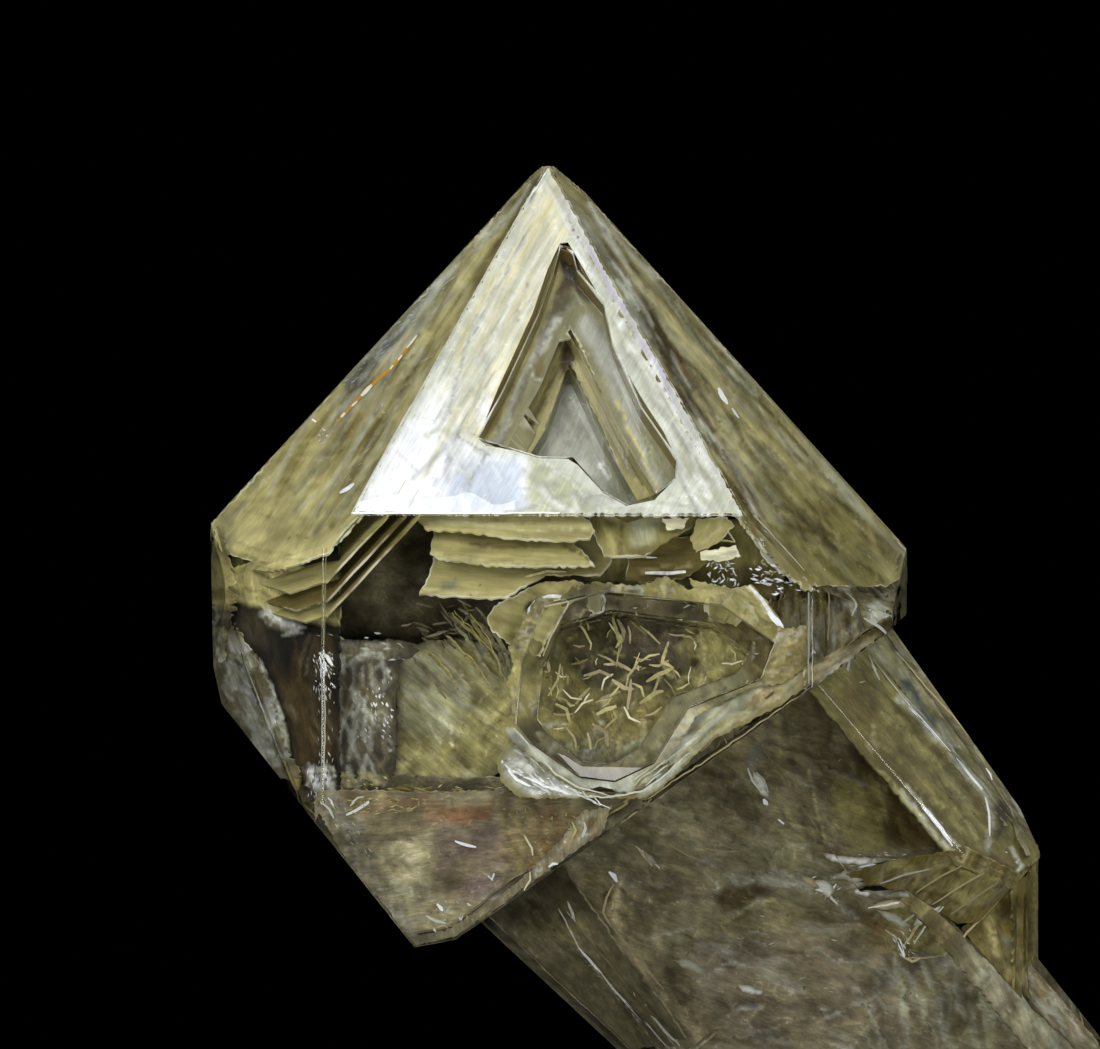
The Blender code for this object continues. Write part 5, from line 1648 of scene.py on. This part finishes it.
    lines = Growth("stem_flakes_and_glints", "frost", seed=41)
    lens = ("834,876 846,870 858,871 868,878 852,882", "848,892 860,887 876,892 866,897",
        "884,896 900,891 918,892 928,895 910,898", "869,905 890,900 926,899 912,906 884,910",
        "877,910 896,914 911,926 904,929 888,921", "912,926 922,912 944,897 938,909 922,925",
        "812,880 826,880 836,890 830,898 818,892", "800,874 812,878 820,888 806,884",
        "672,960 686,958 706,970 700,974 684,968", "736,984 750,986 766,992 758,995 742,992",
        "752,770 764,778 770,800 762,796 754,784", "786,822 800,824 808,828 796,830",
        "640,848 652,856 660,866 648,862", "820,852 850,856 892,858 864,864 832,862")
    for number, outline in enumerate(lens):
        lines.layer("stem_front", 2.0, outline, ("ash", "milk", "mist", "sand")[number % 4], trim=False,
            spacing=3, fade=3, ground="smoke_light", ripple=0.1, grain=(10, 4), fray=0.8)
    # The first four ribbons paint the bright line along the edge at the stem's front left, and the short
    # snow, white and milk ones paint glints.
    for points, width, tint in (
            ("567,897 574,920 581,947", 3, "mist"),
            ("581,947 592,958 606,972", 5, "milk"),
            ("604,970 616,986 631,1001 653,1019", 4, "mist"),
            ("630,1000 654,1020 680,1046", 3, "ash"),
            ("609,872 614,876 617,882", 5, "snow"),
            ("636,846 646,858 652,866", 3, "sand"),
            ("642,850 650,860 660,868", 1.6, "milk"),
            ("764,799 766,803 768,805", 5, "snow"),
            ("778,820 784,824", 4, "white"),
            ("748,768 752,780 762,794", 2, "mist"),
            ("756,772 764,780 768,792", 2, "ash"),
            ("614,884 606,898 603,912 610,926", 2.4, "sand"),
            ("612,926 626,944 640,960 664,990", 3, "fawn"),
            ("598,920 604,932 606,938", 2, "milk"),
            ("700,846 720,852 740,852", 1.6, "fawn"),
            ("668,844 690,856 706,862", 1.6, "fawn"),
            ("806,878 820,886 838,904", 3, "mist"),
            ("816,890 830,892 836,884", 3, "milk"),
            ("868,908 896,903 930,899", 2.2, "milk"),
            ("884,914 902,924 924,908", 2, "ash"),
            ("940,900 920,922 904,946", 3, "sand"),
            ("946,900 930,920 914,944", 2, "mist"),
            ("898,938 902,950 904,957", 4, "milk"),
            ("904,958 912,962 920,958", 3, "sand"),
            ("886,930 898,940 902,950", 2, "sand"),
            ("856,860 880,862 904,860", 3, "ash"),
            ("860,866 884,862 900,858", 2, "milk"),
            ("838,690 844,672 848,656", 3, "mist"),
            ("842,700 850,688 862,684", 2, "ash"),
            ("960,964 966,960 972,966", 5, "milk"),
            ("966,958 968,962 970,966", 2, "milk")):
        lines.ribbon("stem_front", 2.0, points, width, tint, taper=0.2, waver=1.2)
    # Pale splinters: painted glints.
    for region, count, length, tint, angle in (
            ("660,806 760,734 846,720 860,850 700,860", 26, 7, "fawn", None),
            ("620,880 860,880 900,1000 700,1000", 26, 8, "ash", 10),
            ("810,876 840,876 840,906 816,900", 26, 8, "milk", -40),
            ("850,852 930,850 930,868 850,868", 34, 8, "mist", 5),
            ("892,930 916,930 914,962 896,960", 24, 8, "snow", 60),
            ("578,946 592,946 680,1040 660,1040", 60, 8, "milk", 46)):
        lines.splinters("stem_front", 2.2, region, count, length, tint, angle=angle, spread=0.8)
    lines.finish()


def stem_side_growth():
    """Layers inside the stem's slanting faces, with bright lines painted as highlights along each ridge
    between the faces.
    """
    sides = Growth("stem_side_growth", "veil", seed=42)
    sides.layer("side_front_right", 1.6, "812,684 862,648 900,692 940,736 1010,812 1040,850 1014,884 "
            "1004,872 960,860 914,804 874,758", "moss", [
        patch("olive", 12, "884,700 930,740 986,806 980,850 940,800 890,740", 0.7),
        patch("bronze", 16, "826,686 866,692 930,776 962,852 926,850 866,764", 0.6),
        *lenses("830,690 864,660 1000,812 1004,860 950,840 880,750", 90, 60, 0.2,
            "olive khaki umber olive_ash dusk", 48, 0.15, (0.2, 0.6), seed=86),
        line("umber", 6, "896,706 926,742 958,780 984,812", 0.6),
        # The ash and mist lines along this face's edges paint their highlights.
        line("ash", 5, "900,697 931,732 960,765 984,795", 0.9),
        line("mist", 4, "906,786 917,798 940,826 958,850", 0.8),
        line("umber", 4, "898,788 912,806 934,834 950,852", 0.5),
        line("ash", 4, "986,796 990,820 990,850", 0.8),
        line("dusk", 5, "996,804 1000,820 998,836", 0.8),
        line("straw", 3, "884,764 916,800 958,852", 0.7),
        line("khaki", 3, "930,800 958,812 978,838", 0.8),
        line("bronze", 4, "896,730 930,770 970,822", 0.4),
        patch("bronze", 8, "836,690 864,664 886,700 866,730", 0.6),
        patch("dusk", 4, "998,800 1006,804 1008,834 1000,830", 0.8),
        patch("umber", 8, "990,850 1034,848 1012,880 990,866", 0.7),
        line("ash", 3, "1010,850 1020,862 1016,874", 0.9),
        line("sand", 2, "876,724 872,740 880,752", 0.7)], trim=tuple(SIDE_FACES), rim=False, ripple=0.2,
        mottle=0.25, grain=(48, 4))
    sides.layer("side_bevel", 1.2, "856,648 896,630 930,676 976,732 1010,780 1030,822 1016,826 996,802 "
            "960,764 920,712 890,676", "olive_ash", [
        patch("moss", 6, "880,660 910,690 960,750 1004,800 990,800 930,730", 0.6),
        *lenses("860,644 900,640 1010,780 1020,824 960,764", 50, 50, 0.2, "ash khaki umber mist", 52, 0.1,
            (0.2, 0.7), seed=87),
        line("straw", 4, "900,660 940,712 1000,790", 0.5),
        line("slate", 7, "904,682 918,702 932,722", 0.95),
        line("dusk", 4, "906,680 920,700", 0.6),
        # The mist line along the bevel's edge paints its highlight.
        line("mist", 2, "896,652 930,694 970,744", 0.8)], trim=tuple(SIDE_FACES), rim=False, ripple=0.1,
        mottle=0.2, grain=(54, 5))
    sides.layer("side_end", 1.2, "846,878 905,862 962,854 1016,880 1000,904 982,924 954,926 904,894",
        "bronze", [
        *lenses("860,874 960,858 1010,880 980,920 910,894", 120, 52, 0.18,
            "khaki umber fawn dusk sand olive_ash", -42, 0.25, (0.4, 0.9), seed=88),
        patch("olive", 8, "930,870 990,874 996,896 960,912", 0.7),
        patch("umber", 6, "940,862 970,866 964,880 940,878", 0.7),
        line("khaki", 3, "900,874 940,866 1000,880", 0.7),
        line("umber", 3, "920,890 950,900 970,912", 0.6)], trim=False, rim=False, ripple=0.2, mottle=0.3,
        grain=(-50, 3))
    sides.layer("stem_front", 3.0, "960,930 984,904 1010,872 1026,872 1026,1004 1004,984 970,952",
        "bronze", [
        *lenses("970,930 1014,880 1024,990 1000,980", 40, 40, 0.3, "khaki umber fawn olive_ash", 70, 0.3,
            (0.2, 0.7), seed=89),
        patch("umber", 5, "1000,902 1014,900 1014,924 1002,920", 0.9),
        line("khaki", 4, "986,926 1000,950 1014,978", 0.6),
        line("slate", 3, "1004,936 1010,950", 0.7),
        line("sand", 2, "996,930 998,950 1010,974", 0.6)], trim=False, rim=False, ripple=0.2, mottle=0.4,
        grain=(70, 3))
    sides.layer("stem_front_right", 0.9, "906,894 920,894 990,964 1046,1022 1080,1054 1040,1054 978,978",
        "haze", [
        patch("bronze", 6, "900,888 930,888 978,938 958,954", 0.7),
        *lenses("904,892 926,892 970,940 956,950", 26, 36, 0.2, "khaki umber sand bronze", -48, 0.25,
            (0.4, 0.9), seed=90),
        *lenses("950,936 976,940 1076,1046 1040,1050", 110, 50, 0.25, "olive_ash sage umber ash fawn smoke",
            72, 0.3, (0.3, 0.7), seed=91)], trim=False, rim=False, ripple=0.1, mottle=0.3, grain=(72, 3))
    sides.layer("post_bevel", 0.8, "1022,882 1036,862 1038,900 1036,960 1024,990", "olive", [
        line("khaki", 3, "1034,870 1035,900 1033,950", 0.8),
        line("umber", 3, "1026,900 1027,940 1026,970", 0.7)], trim=False, rim=False, mottle=0.4,
        grain=(88, 4))
    sides.layer("stem_front_left", 1.4, "474,916 506,884 544,860 584,920 624,974 676,1046 608,1050 "
            "588,1024 552,996 512,962", "haze", [
        *lenses("490,920 546,880 640,1000 660,1044 600,1020", 90, 50, 0.3,
            "fawn smoke sand umber deep khaki", 46, 0.35, (0.2, 0.7), seed=92),
        patch("haze", 12, "520,940 560,930 610,1000 590,1012 540,976", 0.7),
        patch("smoke", 6, "530,950 544,958 540,966 528,958", 0.7),
        patch("smoke", 8, "576,974 596,978 598,1000 580,996", 0.6),
        line("umber", 3, "532,900 548,920 564,934", 0.7),
        line("smoke", 3, "556,966 570,984 584,990", 0.6),
        patch("khaki", 8, "548,900 566,912 580,950 560,940", 0.5),
        line("sand", 3, "500,922 522,940 540,958", 0.5)], trim=False, rim=False, ripple=0.2, mottle=0.3,
        grain=(46, 3))
    sides.layer("root_front", 1.2, "1020,962 1040,964 1066,992 1104,1034 1108,1056 1040,1056 1000,1010",
        "haze", [
        *lenses("1010,966 1060,980 1106,1040 1050,1050", 90, 44, 0.25, "sand sage smoke olive_ash clay ash",
            66, 0.3, (0.3, 0.8), seed=93)], trim=False, rim=False, mottle=0.3, grain=(40, 3))
    sides.finish()

    ridge_highlights = Growth("stem_ridge_highlights", "glint", seed=43)
    # Pale ribbons along the edges between the stem's faces: painted highlights.
    for face, points, width, tint in (
            ("side_front_right", "876,656 888,676 903,698 931,730", 2, "mist"),
            ("side_front_right", "904,700 931,730 950,752", 2.6, "snow"),
            ("side_front_right", "956,758 972,778 982,790", 2.2, "milk"),
            ("side_front_right", "985,797 989,812 990,836", 2.2, "milk"),
            ("side_front_right", "922,804 940,826 954,845", 2.6, "snow"),
            ("side_front_right", "872,652 872,664 880,680", 2, "ash"),
            ("side_bevel", "897,652 925,686 953,716 985,756", 1.4, "straw"),
            ("side_bevel", "985,756 1003,777 1014,798", 2, "milk"),
            ("side_bevel", "986,768 990,774 992,780", 2, "white"),
            ("side_end", "916,893 940,877 962,866", 2, "khaki"),
            ("side_end", "932,905 960,887 984,873", 1.8, "sand"),
            ("side_end", "950,915 976,897 998,882", 2.2, "fawn"),
            ("side_end", "880,884 905,875 930,869", 2, "ash")):
        ridge_highlights.ribbon(face, 0.35, points, width, tint, taper=0.25)
    # Pale ribbons along the end's edges, the V among them: painted highlights.
    for points, width, tint in (("960,855 980,856 1003,856", 2.4, "mist"),
            ("1010,884 996,900 981,918", 3, "sand"), ("981,918 962,938 944,955", 2.4, "sand"),
            ("944,955 924,958 903,958", 2, "fawn"), ("1001,884 1008,872 1016,862", 3, "mist")):
        ridge_highlights.ribbon("stem_front", 2.1, points, width, tint)
    ridge_highlights.finish()


def back_growth():
    """Growth layers and smoky depths behind the faces that are turned away from the front."""
    tip = Growth("back_terminal_layers", "growth", seed=50)
    khakis = "straw bronze khaki olive_ash sage umber olive ash"
    for face, angle in (("back_right_terminal", 60), ("back_terminal", 118), ("back_left_terminal", 62)):
        tip.facing(face, HEAD_FACES, 0.6, "olive_ash", khakis, 110, 170, 7, angle, mottle=0.15, grain=8,
            amount=(0.1, 0.45), margin=0.65)
        tip.facing(face, HEAD_FACES, 2.4, "khaki", khakis, 60, 120, 9, 0, spacing=0.8, rim=True, margin=1.5)
    tip.finish()

    smoke = Growth("back_depths", "veil", seed=51)
    greys = "smoke haze deep olive_ash umber fawn sage khaki"
    for face, depth, base, margin in (("back_right_prism", 1.2, "deep", 0.8),
            ("back_prism", 1.2, "olive", 0.8), ("back_left_prism", 1.2, "deep", 0.8),
            ("left_underside", 1.0, "deep", 1.6), ("right_underside", 1.0, "smoke", 0.8),
            ("lower_tip", 1.0, "smoke", 0.8), ("left_flank", 1.2, "smoke", 1.8),
            ("left_lower_flank", 1.2, "smoke", 1.8), ("right_flank", 1.4, "deep", 1.6)):
        smoke.facing(face, HEAD_FACES, depth, base, greys, 130, 110, 12, 80, spacing=0.5, ripple=0.3,
            mottle=0.3, margin=margin)
    smoke.finish()

    stem = Growth("stem_back_growth", "veil", seed=52)
    browns = "smoke haze fawn mauve dusk olive_ash bronze ash"
    for faces, names in ((STEM_FACES, ("stem_back", "stem_back_right", "stem_back_left", "stem_left")),
            (SIDE_FACES, ("side_back", "side_back_right", "side_right", "side_right_end")), (POST_FACES,
            ("post_back", "post_right", "post_back_right")), (ROOT_FACES, ("root_back", "root_left",
            "root_front_left", "root_back_left"))):
        for name in names:
            stem.facing(name, faces, 1.0, "smoke_light", browns, 170, 90, 11, 25, ripple=0.3, mottle=0.35,
                margin=0.7)
    stem.finish()


front_terminal_skin()
window_growth()
left_terminal_growth()
right_terminal_growth()
front_growth_layers()
prism_depths()
curled_flakes()
ridge_frost()
left_prism_growth()
right_prism_growth()
lower_face_growth()
stem_growth()
stem_side_growth()
back_growth()

# ---------------------------------------------------------------- stage
FLOOR_RADIUS, FLOOR_THICK = 0.09, 0.004
CENTRE = (0, 0, 0.035)                   # what the lights are aimed at
SHEEN_X = TIP[0] * MM - 0.0415           # the box whose reflection is the sheen on the front terminal face
SENSOR = 36

world = bpy.data.worlds.new("studio")
bpy.context.scene.world = world
world.use_nodes = True
world.node_tree.nodes["Background"].inputs["Color"].default_value = (0.0, 0.0, 0.0, 1)

bpy.ops.mesh.primitive_cylinder_add(vertices=96, radius=FLOOR_RADIUS, depth=FLOOR_THICK,
                                    location=(0, 0, -FLOOR_THICK / 2))
floor = bpy.context.object
floor.name = "floor"
floor.data.materials.append(principled("black_cloth", Base_Color=(0.012, 0.012, 0.013, 1), Roughness=1.0,
                                       Specular_IOR_Level=0.1)[0])


def softbox(name, place, target, size, power, gloss=True):
    """A light box at a place, turned to a target. Without gloss no reflection shows it."""
    light = bpy.data.lights.new(name, "AREA")
    light.shape = "RECTANGLE"
    light.size, light.size_y = size
    light.energy = power
    item = bpy.data.objects.new(name, light)
    bpy.context.scene.collection.objects.link(item)
    item.location = place
    item.rotation_euler = (Vector(target) - Vector(place)).to_track_quat("-Z", "Y").to_euler()
    item.visible_camera = False
    item.visible_transmission = False
    item.visible_glossy = gloss


softbox("top_box", (SHEEN_X, -0.0165, 0.20), (SHEEN_X, -0.0165, 0.03), (0.08, 0.0505), 0.048)
softbox("high_front_box", (0.0, -0.20, 0.30), CENTRE, (0.16, 0.12), 0.36)
softbox("left_front_box", (-0.24, -0.24, 0.20), CENTRE, (0.14, 0.14), 0.6)
softbox("right_front_box", (0.24, -0.24, 0.20), CENTRE, (0.14, 0.14), 0.6)
softbox("low_front_box", (0.0, -0.4, 0.0), CENTRE, (0.2, 0.1), 0.7, gloss=False)
softbox("low_left_box", (-0.3, -0.2, 0.01), CENTRE, (0.12, 0.1), 0.35, gloss=False)
softbox("back_left_box", (-0.22, 0.18, 0.28), CENTRE, (0.14, 0.14), 0.7, gloss=False)
softbox("back_right_box", (0.22, 0.18, 0.28), CENTRE, (0.14, 0.14), 0.7, gloss=False)
softbox("back_sheen_box", (-0.03, 0.30, 0.27), CENTRE, (0.12, 0.07), 0.2)

camera_data = bpy.data.cameras.new("camera")
camera = bpy.data.objects.new("camera", camera_data)
bpy.context.scene.collection.objects.link(camera)
camera.location = EYE * MM
camera.rotation_euler = (math.radians(90), 0, 0)
camera_data.sensor_width = SENSOR
camera_data.sensor_fit = "HORIZONTAL"
camera_data.lens = SENSOR * CAMERA_DISTANCE / (PHOTO_SIZE[0] * PIXEL)
camera_data.clip_start = 0.1
camera_data.clip_end = 10
bpy.context.scene.camera = camera
bpy.context.scene.view_settings.view_transform = "Standard"
bpy.context.scene.cycles.transmission_bounces = 16
bpy.context.scene.cycles.max_bounces = 20
bpy.context.scene.cycles.caustics_refractive = False
bpy.context.scene.cycles.caustics_reflective = False
